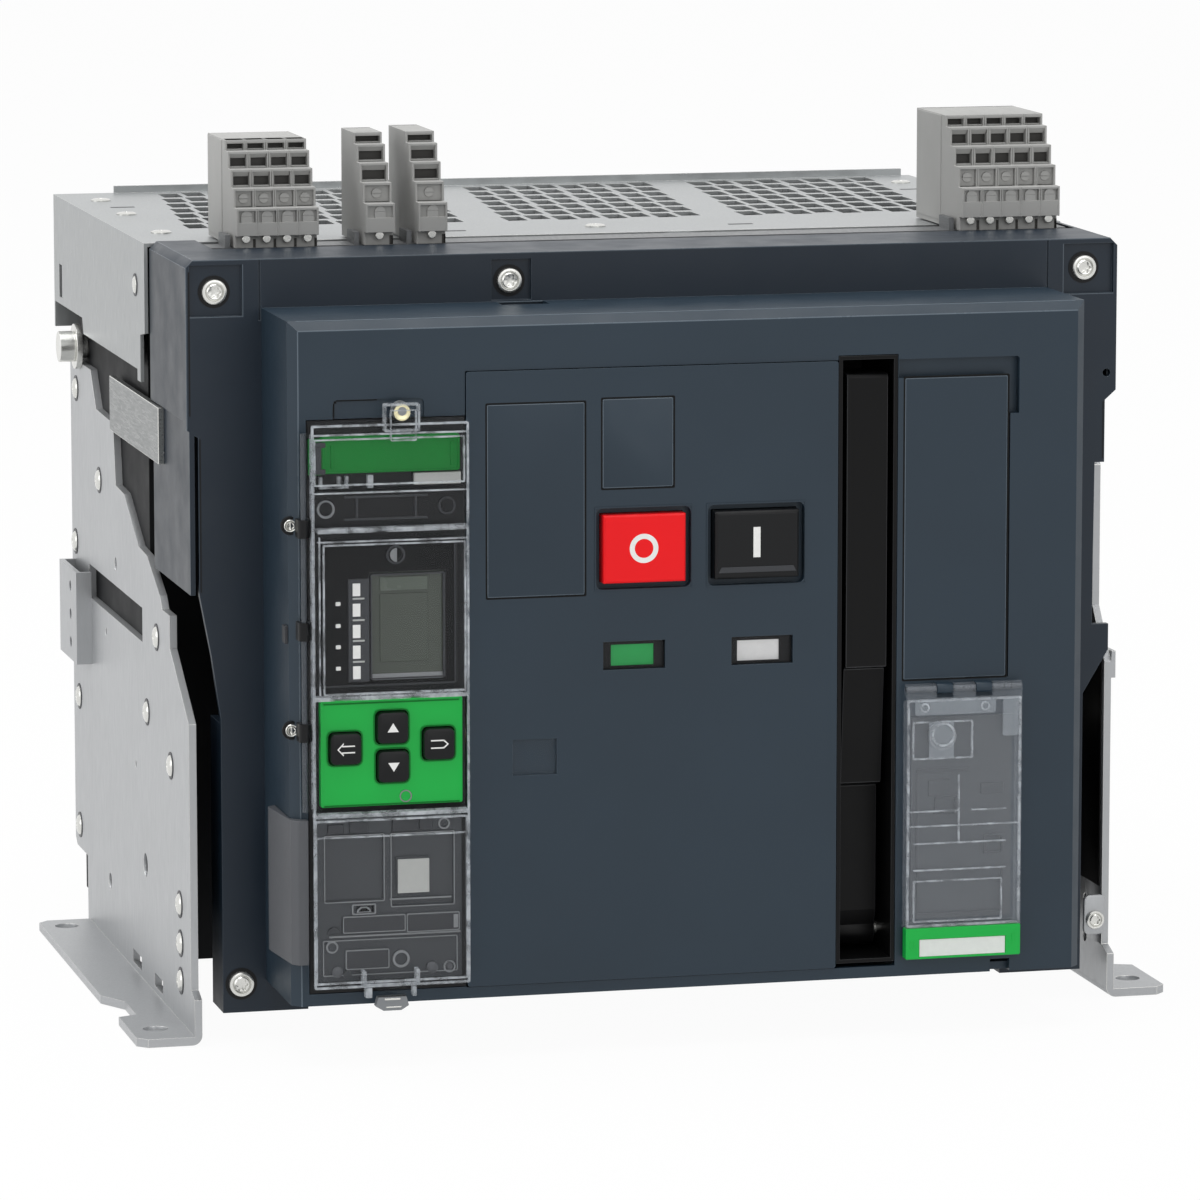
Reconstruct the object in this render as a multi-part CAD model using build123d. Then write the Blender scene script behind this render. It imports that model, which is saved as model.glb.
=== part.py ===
from build123d import *
import math
import os

# Fixed-mounted three-pole air circuit breaker, in millimetres.
# X runs to the right as seen from the front, Y into the object, Z up.
# The origin is the centre of the footprint, at the underside of the feet.

# Overall sizes
overall_width = 422.0
overall_depth = 360.0
overall_height = 352.0

# Layers in depth: the front of the clear covers, the bezel, the shroud, the pole case
cover_proud = 9.0
bezel_depth = 53.0
block_rise = 45.0
block_seat = overall_height - block_rise
cap_top = block_seat - 0.5
shroud_depth = 78.0
case_start = 100.0
case_setback = 36.0
front_y = -overall_depth / 2
rear_y = overall_depth / 2
bezel_y = front_y + cover_proud
face_y = bezel_y + bezel_depth
case_y = face_y + case_start
rear_depth = rear_y - face_y
case_back = rear_depth - case_setback
case_back_y = face_y + case_back

# Gaps between pieces
fit_gap = 0.3
slide_gap = 0.25
pin_gap = 0.05

# Side plates and feet
plate_sheet = 3.0
plate_half = 188.5
foot_sheet = 3.4
foot_front = -6.0
plate_setback = 28.0
plate_back = rear_depth - plate_setback
foot_length = plate_back - 28.0
foot_hole_radius = 5.0
foot_hole_out = 12.2
foot_hole_front = 13.0
foot_hole_back = foot_length - 19.0
foot_bend = 4.0
tab_out = 1.8
rivet_radius = 2.4
rivet_head_radius = 4.2
rivet_head = 1.6
band_proud = 1.5
band_front = 54.0
band_back = 165.2
strap_depths = (108.0, 140.0)
strap_width = 12.0
channel_front = plate_back - 47.0
channel_back = plate_back - 5.0
channel_low = 115.0
channel_high = 154.0
channel_wall = 2.0
channel_proud = 6.5
channel_pitch = 12.0
channel_hole = 2.2
channel_hole_depth = plate_back - 32.0
notch_high = 33.0
notch_deep = 30.0
rear_pin_depth = case_back - 16.0
rear_pin_steps = ((3.0, 5.0), (2.5, 9.5), (6.5, 6.5))
plate_inner = plate_half - plate_sheet

# Top cap
cap_sheet = 1.5
cap_half = 190.3
plate_top = cap_top - 66.5
band_low = plate_top - 18.5
band_high = plate_top + 4.0
strap_low = plate_top - 12.0
strap_high = plate_top - 2.0
rear_pin_z = cap_top - 59.5
cap_front = 80.0
cap_skirt_bottom = cap_top - 52.0
cap_rim = 3.0
grille_front = 135.0
grille_rear_gap = 5.5
grille_rows = 7
grille_pitch_y = (rear_depth - grille_rear_gap - grille_front) / grille_rows
slot_length = grille_pitch_y - grille_rear_gap
slot_width = 8.2
grille_pitch_x = 10.6
grille_skew = 17.0
grille_stagger = 4.0
grille_starts = (-164.0, -31.0, 69.0)
grille_columns = (11, 8, 8)

# Front shroud
shroud_half = 188.5
shroud_top = block_seat + 0.5
shroud_wall = 3.0
shroud_skirt = shroud_top - 130.5
shroud_step = shroud_top - 61.0
left_step = shroud_top - 66.0
wing_out = 2.0
wing_low = 141.5
wing_high = 152.0
seam_x = 159.0
seam_width = 0.8
right_step = shroud_top - 90.0
skirt_inset = 1.0
shroud_low_half = 176.0
shroud_low = 24.0
shroud_open_half = shroud_low_half - 26.0
corner_low = 11.0
corner_high = 34.0
corner_inner = shroud_low_half - 34.0
well_front = 41.0
well_left = -170.0
well_right = 184.0
recess = 2.0
screw_radius = 4.6
screw_head = 2.6
screw_shank = 2.0
upper_screw_x = shroud_half - 11.5
upper_screw_z = shroud_top - 12.5
lower_screw_x = shroud_low_half - 7.2
screw_places = (
    (-upper_screw_x, upper_screw_z), (-60.0, upper_screw_z + 1.5),
    (upper_screw_x - 2.0, upper_screw_z + 0.8),
    (-lower_screw_x, 22.5), (lower_screw_x, 22.5),
)

# Raised bezel
bezel_half = 158.8
bezel_low = 23.5
bezel_high = shroud_top - 19.0
bezel_wall = 3.0
bezel_chamfer = 3.6

# Fascia and what is let into it
fascia_left = -89.9
fascia_right = 57.9
fascia_low = 28.2
fascia_high = bezel_high - 20.8
fascia_sheet = 3.0
fascia_proud = 0.8
guide_wall = 1.5
guide_depth = 12.0
module_cover = (-81.9, -43.2, fascia_high - 87.7, fascia_high - 12.8)
lock_plate = (-36.3, -8.0, fascia_high - 46.7, fascia_high - 11.9)
button_low = fascia_high - 83.5
button_high = fascia_high - 56.9
off_face = (-36.3, -3.5, button_low, button_high)
on_face = (8.2, 42.0, button_low, button_high)
window_low = fascia_high - 117.5
window_high = fascia_high - 106.4
contact_window = (-36.0, -11.2, window_low, window_high)
charge_window = (15.3, 40.0, window_low, window_high)
counter_window = (-72.0, -54.5, fascia_high - 157.3, fascia_high - 143.4)
button_proud = 2.2
button_depth = 12.0
button_margin = 2.5
button_recess = 4.2
flag_sheet = 1.5
flag_field = 12.5
lens_sheet = 1.2
lens_setback = 1.6
lens_lap = 1.0
insert_sheet = 1.5

# Charging handle and its well
well_x0 = 58.4
well_x1 = 82.0
well_z0 = 29.7
well_z1 = fascia_high + 1.8
well_depth = 46.0
well_wall = 1.5
handle_pivot_back = 22.0
handle_pivot_z = 39.0
handle_pin_radius = 2.5
handle_boss = 6.5
handle_gap = 2.0

# Right-hand panel, lock carrier and clear flap
right_panel = (85.0, 126.9, 141.5, fascia_high - 7.4)
pocket_right = 4.6
pocket_top = 7.4
cover_pocket = (-141.8, -106.2, bezel_high - 40.0, bezel_high - 30.2)
pocket_sink = 0.8
flap_x0 = 85.2
flap_x1 = 132.2
flap_low = 43.4
flap_high = 140.6
flap_sheet = 1.6
flap_proud = 5.5
flap_pin_radius = 1.0
flap_barrel = 2.1
holder_low = 31.0
holder_sheet = 4.5
carrier_sheet = 1.4

# Trip unit
trip_x0 = -152.0
trip_x1 = -90.5
trip_low = 28.5
trip_high = bezel_high - 37.8
trip_depth = 43.0
cover_sheet = 1.8
cover_rim = 1.6
cover_low = 31.5
cover_high = trip_high - 0.2
hinge_pin_radius = 1.1
hinge_barrel = 2.3
hinge_x = -154.4
seal_screw = (-116.6, cover_high + 3.9)
top_module = (-147.0, -93.0, trip_high - 20.0, trip_high - 6.2)
stud_band = (-149.5, -93.0, trip_high - 39.7, trip_high - 27.1)
display_frame = (-147.0, -94.2, trip_high - 102.7, trip_high - 46.7)
screen = (-128.3, -99.0, trip_high - 99.7, trip_high - 58.7)
keypad = (-148.0, -92.4, trip_high - 149.1, trip_high - 107.7)
lower_module = (-149.5, -92.8, 33.5, keypad[2] - 3.6)
module_sheet = 3.0
keypad_sheet = 3.4
hinge_low = keypad[2] - 1.0
ear_half = 3.5
ear_places = (keypad[2] + 29.7, keypad[2] + 68.9, keypad[2] + 108.4)
key_half = 6.2
key_travel = 1.0
key_height = 5.0
key_up_place = (-120.2, keypad[2] + 30.4)
key_down_place = (-120.0, keypad[2] + 15.3)
key_back_place = (-138.6, keypad[2] + 22.8)
key_enter_place = (-102.0, keypad[2] + 23.4)
side_block_low = 40.5
side_block_high = 97.0
side_block_out = 3.4
side_block_front = 4.0

# Terminal blocks on top
block_front = 42.0
block_steps = 5
step_run = 6.0
block_back = 107.0
left_block_back = block_back - 5.0
mid_a_back = block_back - 17.5
mid_b_back = block_back - 9.0
terminal_way = 8.2
block_left_x = -160.0
block_mid_a_x = -108.2
block_mid_b_x = -87.0
block_right_x = 136.8
narrow_way = 11.6
rail_back = 68.0
rail_drop = 22.0

# Poles
pole_pitch = 115.0
pole_count = 3
case_low = 12.0
case_wall = 10.0
chamber_half = 44.0
chute_half = 47.5
chute_seat = 204.0
chute_sheet = 4.0
chute_plates = 9
bar_half = 30.0
bar_thick = 12.0
upper_bar_z = 186.0
lower_bar_z = 60.0
bar_hole_radius = 5.5
bar_hole_spacing = 25.0
bar_hole_back = 14.0
arm_setback = 80.0
arm_pivot_depth = case_back - arm_setback
pad_front = arm_pivot_depth + 25.0
arm_pivot_z = 78.0
arm_pivot_radius = 6.0
arm_half = 22.0
arm_front = arm_pivot_depth - 8.0
arm_back = arm_pivot_depth + 14.0
arm_top = 195.0
arm_open_angle = 20.0
link_pin_depth = arm_pivot_depth - 4.0
link_pin_z = 137.0
link_pin_radius = 3.0
link_half = 5.0
link_play = 1.5
shaft_depth = 80.0
shaft_z = 110.0
shaft_radius = 9.0
shaft_half = 160.0
crank_radius = 28.0
crank_open_angle = 21.0
crank_sheet = 5.0
mech_plate_x = 59.0
mech_plate_sheet = 3.0
mech_front = 12.0
mech_low = 40.0
mech_high = cap_top - 24.5
bush_radius = 12.0
cam_depth = 48.0
cam_z = 205.0
cam_shaft_radius = 6.0
wheel_radius = 24.0
wheel_teeth = 16
wheel_x = 44.0
wheel_sheet = 7.0
spring_x = -34.0
spring_depth = 38.0
spring_radius = 13.0
spring_wire = 3.0
spring_low = 70.0
spring_turns = 8
spring_pitch = 10.0

pole_centres = [(i - (pole_count - 1) / 2) * pole_pitch for i in range(pole_count)]


def behind(depth):
    """Y of a plane that lies this far behind the face of the shroud."""
    return face_y + depth


def block(x, y, z):
    """Box between the low and high values of x, y and z."""
    x = sorted(x)
    centre = Pos((x[0] + x[1]) / 2, (y[0] + y[1]) / 2, (z[0] + z[1]) / 2)
    return centre * Box(x[1] - x[0], y[1] - y[0], z[1] - z[0])


def rod_x(y, z, radius, x):
    x = sorted(x)
    return Pos((x[0] + x[1]) / 2, y, z) * Rot(0, 90, 0) * Cylinder(radius, x[1] - x[0])


def rod_y(x, z, radius, y):
    return Pos(x, (y[0] + y[1]) / 2, z) * Rot(90, 0, 0) * Cylinder(radius, y[1] - y[0])


def rod_z(x, y, radius, z):
    return Pos(x, y, (z[0] + z[1]) / 2) * Cylinder(radius, z[1] - z[0])


def prism_x(outline, x):
    """Outline of (y, z) points drawn out along X."""
    face = make_face(Polyline(*[(x[0], y, z) for y, z in outline], close=True))
    return extrude(face, amount=x[1] - x[0], dir=(1, 0, 0))


def prism_y(outline, y):
    """Outline of (x, z) points drawn out along Y."""
    face = make_face(Polyline(*[(px, y[0], z) for px, z in outline], close=True))
    return extrude(face, amount=y[1] - y[0], dir=(0, 1, 0))


def pad_y(area, y, radius=1.0):
    """Plate over area (x0, x1, z0, z1) with rounded corners."""
    plate = block((area[0], area[1]), y, (area[2], area[3]))
    return fillet(plate.edges().filter_by(Axis.Y), radius)


def grown(area, gap):
    return (area[0] - gap, area[1] + gap, area[2] - gap, area[3] + gap)


def cut_all(shape, tools):
    for tool in tools:
        shape = shape - tool
    return shape


def join_all(shapes):
    total = shapes[0]
    for shape in shapes[1:]:
        total = total + shape
    return total


def group(shapes):
    return Compound([solid for shape in shapes for solid in shape.solids()])


# Side plates with feet

plate_rivets = (
    (24.0, 50.5), (23.0, 35.0), (23.0, 20.0), (41.0, 103.0), (93.0, 116.0), (70.0, 150.0),
    (plate_back - 69.0, 196.0), (plate_back - 14.0, 228.0), (plate_back - 9.0, 162.0),
    (plate_back - 14.0, 96.0), (plate_back - 12.0, 40.0),
)
plate_holes = (
    (100.0, 52.0, 4.8), (184.0, 29.5, 3.4), (163.5, 166.0, 2.8), (188.0, 134.0, 1.8), (120.0, 90.0, 1.6),
)
plate_windows = (
    ((111.5, 131.5), (6.0, 11.5)), ((63.5, 81.5), (6.0, 11.5)), ((102.0, plate_back - 42.0), (143.0, 157.0)),
)


def side_plate(side):
    """Steel plate with its bent foot flange, on the left (-1) or right (+1)."""
    x = sorted((side * plate_half, side * plate_inner))
    front = [(foot_front, 0), (foot_front, 18), (1.5, 20.5)]
    if side < 0:
        front += [(1.5, 126), (41, 150), (41, 163), (57, 163), (62, 168), (90, 180), (109, 181),
                  (142, 198), (161, 199), (166, 224)]
    else:
        front += [(1.5, wing_low - 5.5), (4, wing_low - 2.5), (18, 157), (18, band_low - 7.5),
                  (22, band_low - 3.5), (band_back + 0.5, band_low - 3.5), (166, 224)]
    outline = front + [
        (plate_back - 63, 225), (plate_back - 50, plate_top), (plate_back, plate_top),
        (plate_back, notch_high), (plate_back - 4, notch_high - 3), (plate_back - notch_deep, notch_high - 3),
        (plate_back - notch_deep, 0),
    ]
    sheet = prism_x([(behind(d), z) for d, z in outline], x)
    cuts = [rod_x(behind(d), z, r, x) for d, z, r in plate_holes]
    cuts += [rod_x(behind(d), z, rivet_radius, x) for d, z in plate_rivets]
    cuts += [block(x, (behind(d[0]), behind(d[1])), z) for d, z in plate_windows]
    sheet = cut_all(sheet, cuts)
    if side > 0:
        y = (behind(1.5), behind(10))
        sheet += block((plate_half, plate_half + tab_out), y, (wing_low - 12, wing_low - 1))
    return cut_all(sheet + foot_flange(side), [bend_corner(side)])


def foot_flange(side):
    """Foot with two bolt holes and a notch in its outer edge."""
    edge = overall_width / 2
    front = behind(foot_front)
    back = front + foot_length
    corner = 4.0
    outline = [
        (plate_inner, front), (edge - corner, front), (edge, front + corner),
        (edge, behind(38)), (edge - 7.5, behind(41)), (edge - 7.5, behind(66)), (edge, behind(80)),
        (edge, back - corner), (edge - corner, back), (plate_inner, back),
    ]
    face = make_face(Polyline(*[(side * px, y, 0) for px, y in outline], close=True))
    foot = extrude(face, amount=foot_sheet, dir=(0, 0, 1))
    hole_x = side * (plate_half + foot_hole_out)
    holes = [rod_z(hole_x, behind(d), foot_hole_radius, (-1, foot_sheet + 1))
             for d in (foot_hole_front, foot_hole_back)]
    return cut_all(foot, holes)


def bend_corner(side):
    """What the bend radius takes off the lower inner corner of the plate."""
    inner = side * plate_inner
    centre = side * (plate_inner + foot_bend)
    length = (behind(foot_front) - 1, behind(plate_back) + 1)
    square = block((inner, centre), length, (0, foot_bend))
    return square - rod_y(centre, foot_bend, foot_bend, length)


def side_fasteners():
    """Rivets and screws of both side plates, and the big pins under the cap."""
    pieces = []
    for side in (-1, 1):
        outer = side * plate_half
        head = outer + side * rivet_head
        foot = outer - side * (plate_sheet - 0.4)
        for d, z in plate_rivets:
            rivet = rod_x(behind(d), z, rivet_head_radius, (outer, head))
            rivet += rod_x(behind(d), z, rivet_radius - pin_gap, (outer, foot))
            pieces.append(rivet)
    return group(pieces + rear_pins())


def rear_pins():
    """Large shouldered pins at the rear corners, under the top cap."""
    pins = []
    for side in (-1, 1):
        pin = []
        start = plate_inner
        for length, radius in rear_pin_steps:
            x = (side * start, side * (start + length))
            pin.append(rod_x(behind(rear_pin_depth), rear_pin_z, radius, x))
            start += length
        pins.append(join_all(pin))
    return pins


# Top cap

def grille_slots():
    """Places (x, depth) of the slot centres of the three grille fields."""
    places = []
    for start, columns in zip(grille_starts, grille_columns):
        for column in range(columns):
            for row in range(grille_rows):
                share = (row + 0.5) / grille_rows
                x = start + (column + 0.5) * grille_pitch_x + share * grille_skew
                depth = grille_front + (row + 0.5) * grille_pitch_y + (column % 2 - 0.5) * grille_stagger
                places.append((x, depth))
    return places


def flat_rectangle(x, y):
    """Closed wire of a rectangle at height zero."""
    corners = ((0, 0), (1, 0), (1, 1), (0, 1))
    return Wire.make_polygon([Vector(x[i], y[j], 0) for i, j in corners], close=True)


def top_cap():
    """Steel cap with three grille fields, side skirts, rear skirt and rear rim."""
    inner = cap_half - cap_sheet
    front = behind(cap_front)
    outer_wire = flat_rectangle((-cap_half, cap_half), (front, rear_y))
    slots = []
    for x, depth in grille_slots():
        y = behind(depth)
        slots.append(flat_rectangle((x - slot_width / 2, x + slot_width / 2),
                                    (y - slot_length / 2, y + slot_length / 2)))
    sheet = extrude(Face(outer_wire, slots), amount=cap_sheet, dir=(0, 0, 1))
    sheet = Pos(0, 0, cap_top - cap_sheet) * sheet
    cap = sheet
    for side in (-1, 1):
        x = sorted((side * inner, side * cap_half))
        outline = [
            (cap_front, cap_top), (cap_front, cap_top - 36), (cap_front + 10, cap_top - 37.5),
            (cap_front + 10, cap_skirt_bottom - 4.5), (cap_front + 17, cap_skirt_bottom - 4.5),
            (cap_front + 17, cap_skirt_bottom),
            (rear_depth - 73, cap_skirt_bottom), (rear_depth - 70, cap_top - 45.5),
            (rear_depth, cap_top - 45.5), (rear_depth, cap_top),
        ]
        skirt = prism_x([(behind(d), z) for d, z in outline], x)
        skirt -= rod_x(behind(100), cap_top - 18.5, 2.0, x)
        skirt -= block(x, (rear_y - 20, rear_y - 13), (cap_top - 42.5, cap_top - 28.5))
        cap += skirt
    cap += block((-cap_half, cap_half), (rear_y - cap_sheet, rear_y), (cap_top - 56.5, cap_top))
    cap += block((-cap_half + 26, cap_half - 4), (rear_y - cap_sheet, rear_y), (cap_top, cap_top + cap_rim))
    return cap


def cap_front_rail():
    """Folded steel rail in front of the grilles, with its black gap before it."""
    x = (well_left + 16, well_right - 1)
    z = cap_top - cap_sheet
    y = (behind(cap_front) - 2.5, behind(cap_front) - 0.3)
    rail = block(x, (y[0], y[1] + 0.3), (z - rail_drop, cap_top))
    rail += block(x, (y[1], case_y), (z - rail_drop, z - rail_drop + 2))
    hook = block((24, 34), (y[0] - 9, y[0]), (cap_top - 3, cap_top - 1))
    hook += block((24, 34), (y[0] - 9, y[0] - 7), (cap_top - 12, cap_top - 1))
    return rail + hook


def side_bands():
    """Horizontal steel bands between the cap and the side plates."""
    bands = []
    for side in (-1, 1):
        outer = side * (plate_half + band_proud)
        band = block((side * (shroud_half - skirt_inset), outer), (behind(band_front), behind(band_back)),
                     (band_low, band_high))
        for depth in strap_depths:
            band += block((side * plate_inner, outer), (behind(depth), behind(depth + strap_width)),
                          (strap_low, strap_high))
        bands.append(band)
    return group(bands)


def rear_channels():
    """Upright channels with three holes, on the rear edge of each side plate."""
    channels = []
    for side in (-1, 1):
        near = side * plate_half
        far = near + side * channel_proud
        y = (behind(channel_front), behind(channel_back))
        body = block((near, far), y, (channel_low, channel_high))
        body -= block((near, far - side * channel_wall), (y[0] + channel_wall, y[1] - channel_wall),
                      (channel_low - 1, channel_high + 1))
        middle = (channel_low + channel_high) / 2
        for step in (-1, 0, 1):
            body -= rod_x(behind(channel_hole_depth), middle + step * channel_pitch, channel_hole,
                          (near, far + side))
        channels.append(body)
    return group(channels)


# Front shroud and bezel

def front_shroud():
    """Dark moulded front frame: face, side walls, top wall and lower corners."""
    face = (face_y, face_y + shroud_wall)
    depth = (face_y, behind(shroud_depth))
    outline = [
        (-shroud_half, shroud_top - 3), (-shroud_half + 3, shroud_top),
        (shroud_half - 3, shroud_top), (shroud_half, shroud_top - 3),
        (shroud_half, shroud_step), (shroud_half - 4.5, shroud_step - 4), (shroud_half - 4.5, right_step),
        (shroud_half - 8.5, right_step), (shroud_half - 9, wing_high), (shroud_half - wing_out, wing_high),
        (shroud_half - wing_out, wing_low), (shroud_low_half, wing_low - 17.5), (shroud_low_half, corner_low),
        (corner_inner, corner_low), (corner_inner, corner_high - 4), (corner_inner - 2, shroud_low),
        (-corner_inner + 2, shroud_low), (-corner_inner, corner_high - 4), (-corner_inner, corner_low),
        (-shroud_low_half, corner_low), (-shroud_low_half, 128), (-shroud_half + 9, shroud_skirt - 24),
        (-shroud_half + 4.5, shroud_skirt), (-shroud_half + 4.5, left_step - 3),
        (-shroud_half, left_step),
    ]
    shroud = prism_y(outline, face)
    shroud -= block((-shroud_open_half, shroud_open_half), face, (40, bezel_high - 8.5))
    top = prism_y([
        (-shroud_half, shroud_top - 3), (-shroud_half + 3, shroud_top),
        (shroud_half - 3, shroud_top), (shroud_half, shroud_top - 3),
        (shroud_half, shroud_top - 3 - shroud_wall), (-shroud_half, shroud_top - 3 - shroud_wall),
    ], depth)
    top -= block((well_left, well_right), (behind(well_front), depth[1] + 1),
                 (shroud_top - 20, shroud_top + 1))
    shroud += top
    left_skirt = (-shroud_half + skirt_inset, -shroud_half + shroud_wall)
    right_skirt = (shroud_half - shroud_wall, shroud_half - skirt_inset)
    shroud += block((-shroud_half, -shroud_half + shroud_wall), depth, (band_high + 0.5, shroud_top - 3))
    shroud += block(left_skirt, depth, (shroud_skirt, band_high + 1))
    shroud += block((shroud_half - shroud_wall, shroud_half), depth, (shroud_step, shroud_top - 3))
    shroud += block(right_skirt, (behind(16), depth[1]), (band_low - 2, shroud_step))
    shroud += block((shroud_half - 8.5, shroud_half - 4.5), (face_y, behind(16)), (right_step, shroud_step))
    shroud += block((shroud_half - 12, shroud_half - 9), (face_y, behind(16)), (wing_high, right_step))
    for side in (-1, 1):
        lip = sorted((side * shroud_low_half, side * (shroud_low_half - shroud_wall)))
        shroud += block(lip, (face_y, behind(22)), (corner_low, 126))
        seam = sorted((side * seam_x, side * (seam_x + seam_width)))
        shroud -= block(seam, (face_y, face_y + seam_width), (bezel_high - 5, shroud_top + 1))
    shroud += block((-corner_inner, -shroud_low_half), (face_y, behind(14)), (corner_low, corner_low + 3))
    shroud += block((corner_inner, shroud_low_half), (face_y, behind(14)), (corner_low, corner_low + 3))
    shroud -= rod_y(shroud_half - 4, shroud_step + 7, 1.6, face)
    for x, z in screw_places:
        shroud -= rod_y(x, z, screw_shank + 0.1, face)
    y = (face_y, face_y + recess)
    for side in (-1, 1):
        x = (side * (shroud_half - 1.5), side * (upper_screw_x - 10.8))
        shroud -= block(x, y, (shroud_top - 22, shroud_top - 2))
    return shroud - block((-67.5, -51.5), y, (bezel_high + 0.5, shroud_top - 2.5))


def front_screws():
    """Star-drive screws of the shroud."""
    screws = []
    for x, z in screw_places:
        upper = z > bezel_high
        seat = face_y + (recess if upper else 0)
        end = face_y + shroud_wall - 0.2
        screw = rod_y(x, z, screw_radius, (seat - screw_head, seat))
        screw += rod_y(x, z, screw_shank, (seat, end))
        socket = RegularPolygon(1.9, 6)
        star = Pos(x, seat - screw_head, z) * Rot(90, 0, 0) * extrude(socket, amount=1.4, both=True)
        screws.append(screw - star)
    return group(screws)


def front_bezel():
    """Raised moulded housing on the shroud, open for the trip unit, fascia and handle."""
    outer = block((-bezel_half, bezel_half), (bezel_y, face_y), (bezel_low, bezel_high))
    front_edges = outer.edges().filter_by(Axis.Y, reverse=True)
    front_edges = front_edges.filter_by_position(Axis.Y, bezel_y - 0.1, bezel_y + 0.1)
    upper = [e for e in front_edges if e.center().Z > bezel_low + 1]
    outer = chamfer(upper, bezel_chamfer)
    inner = block((-bezel_half + bezel_wall, bezel_half - bezel_wall), (bezel_y + bezel_wall, face_y + 1),
                  (bezel_low + bezel_wall, bezel_high - bezel_wall))
    shell = outer - inner
    wall = (bezel_y - 1, bezel_y + bezel_wall + 1)
    shell -= block((trip_x0 - fit_gap, fascia_left), wall, (trip_low - fit_gap, trip_high + fit_gap))
    shell -= block((fascia_left - fit_gap, well_x1 + fit_gap), wall,
                   (fascia_low - fit_gap, well_z1 + fit_gap))
    shell += bezel_top_bridge()
    shell -= block((right_panel[0] - fit_gap, right_panel[1] + fit_gap), wall,
                   (right_panel[2] - fit_gap, right_panel[3] + fit_gap))
    shell += panel_ledge()
    shell -= block((-66, -47), (face_y - 12, face_y + 1), (bezel_high - 3, bezel_high + 1))
    shell -= prism_y(panel_pocket(), wall)
    shell -= pad_y(cover_pocket, (bezel_y - 1, bezel_y + pocket_sink), 2.2)
    return shell - block((121.5, 129.5), wall, (bezel_low - 1, bezel_low + 5))


def panel_pocket():
    """Outline of the deeper field above and to the right of the right-hand panel."""
    a = right_panel
    right = a[1] + pocket_right
    top = a[3] + pocket_top
    return [(a[0] - 2.5, a[3]), (a[0] - 2.5, top), (right - 0.8, top), (right, top - 0.8),
            (right, a[3] - 15), (a[1] + 1, a[3] - 15), (a[1] + 1, a[2] - fit_gap), (a[1], a[2] - fit_gap),
            (a[1], a[3])]


def bezel_top_bridge():
    """Strip between the top of the fascia and the top of the handle well."""
    return block((fascia_left - fit_gap, well_x0 - fit_gap), (bezel_y, bezel_y + bezel_wall),
                 (fascia_high + fit_gap, well_z1 + fit_gap))


def panel_ledge():
    """Frame behind the right-hand panel, on which it is seated."""
    y = (bezel_y + bezel_wall, bezel_y + bezel_wall + 1.5)
    a = right_panel
    frame = block((a[0] - 2.5, a[1] + pocket_right + 1), y, (a[2] - 3, a[3] + pocket_top + 1))
    return frame - block((a[0] + 3, a[1] - 3), y, (a[2] + 3, a[3] - 3))


def right_hand_panel():
    """Blank panel let into the bezel above the clear flap."""
    return pad_y(right_panel, (bezel_y, bezel_y + bezel_wall), 0.8)


# Fascia with its inserts

def fascia():
    """Central front plate with guides for buttons and flags behind it."""
    y = (bezel_y - fascia_proud, bezel_y - fascia_proud + fascia_sheet)
    plate = pad_y((fascia_left, fascia_right, fascia_low, fascia_high), y, 1.0)
    back = (y[1], y[1] + guide_depth)
    for area in (off_face, on_face):
        plate = button_place(plate, area, y, back)
    for area in (contact_window, charge_window):
        plate += flag_guide(area, y[1])
        plate -= block((area[0], area[1]), (y[0] - 1, y[1] + 1), (area[2], area[3]))
        seat = grown(area, lens_lap)
        plate -= block((seat[0], seat[1]), (y[0] + lens_setback, y[1] + 1), (seat[2], seat[3]))
    a = counter_window
    plate -= block((a[0], a[1]), (y[0] - 1, y[0] + insert_sheet), (a[2], a[3]))
    for area in (module_cover, lock_plate):
        plate -= pad_y(grown(area, fit_gap), (y[0] - 1, y[0] + insert_sheet), 1.0)
    return plate


def button_place(plate, area, y, back):
    """The fascia with a round-cornered recess and the square guide of a button in it."""
    hole = grown(area, slide_gap)
    sunk = grown(area, button_margin)
    rim = grown(sunk, guide_wall)
    plate += block((rim[0], rim[1]), back, (rim[2], rim[3]))
    plate -= pad_y(sunk, (y[0] - 1, y[0] + button_recess), button_margin)
    return plate - block((hole[0], hole[1]), (y[0] - 1, back[1] + 1), (hole[2], hole[3]))


def flag_guide(area, y):
    """Two rails behind a window, between which the flag slides up and down."""
    low = area[2] - flag_field - 3
    high = area[3] + flag_field + 3
    left = block((area[0] - 3, area[0] - 1.2), (y, y + 4), (low, high))
    right = block((area[1] + 1.2, area[1] + 3), (y, y + 4), (low, high))
    return left + right


def insert_plate(area):
    """Blank plate that lies in a shallow recess of the fascia."""
    y = bezel_y - fascia_proud
    return pad_y(area, (y, y + insert_sheet), 0.8)


def indicator_windows():
    """Clear lenses of the two flags and of the counter."""
    y = bezel_y - fascia_proud
    lenses = []
    for window in (contact_window, charge_window):
        a = grown(window, lens_lap - 0.1)
        lenses.append(block((a[0], a[1]), (y + lens_setback, y + lens_setback + lens_sheet), (a[2], a[3])))
    a = grown(counter_window, -0.1)
    lenses.append(block((a[0], a[1]), (y + insert_sheet - 1.0, y + insert_sheet), (a[2], a[3])))
    return group(lenses)


def indicator_flag(area):
    """Flag with two fields, one above the other, behind its window."""
    y = bezel_y - fascia_proud + fascia_sheet + slide_gap
    low = area[2] - 0.8 - flag_field
    a = grown(area, lens_lap - 0.1)
    return block((a[0], a[1]), (y, y + flag_sheet), (low, low + 2 * flag_field))


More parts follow.
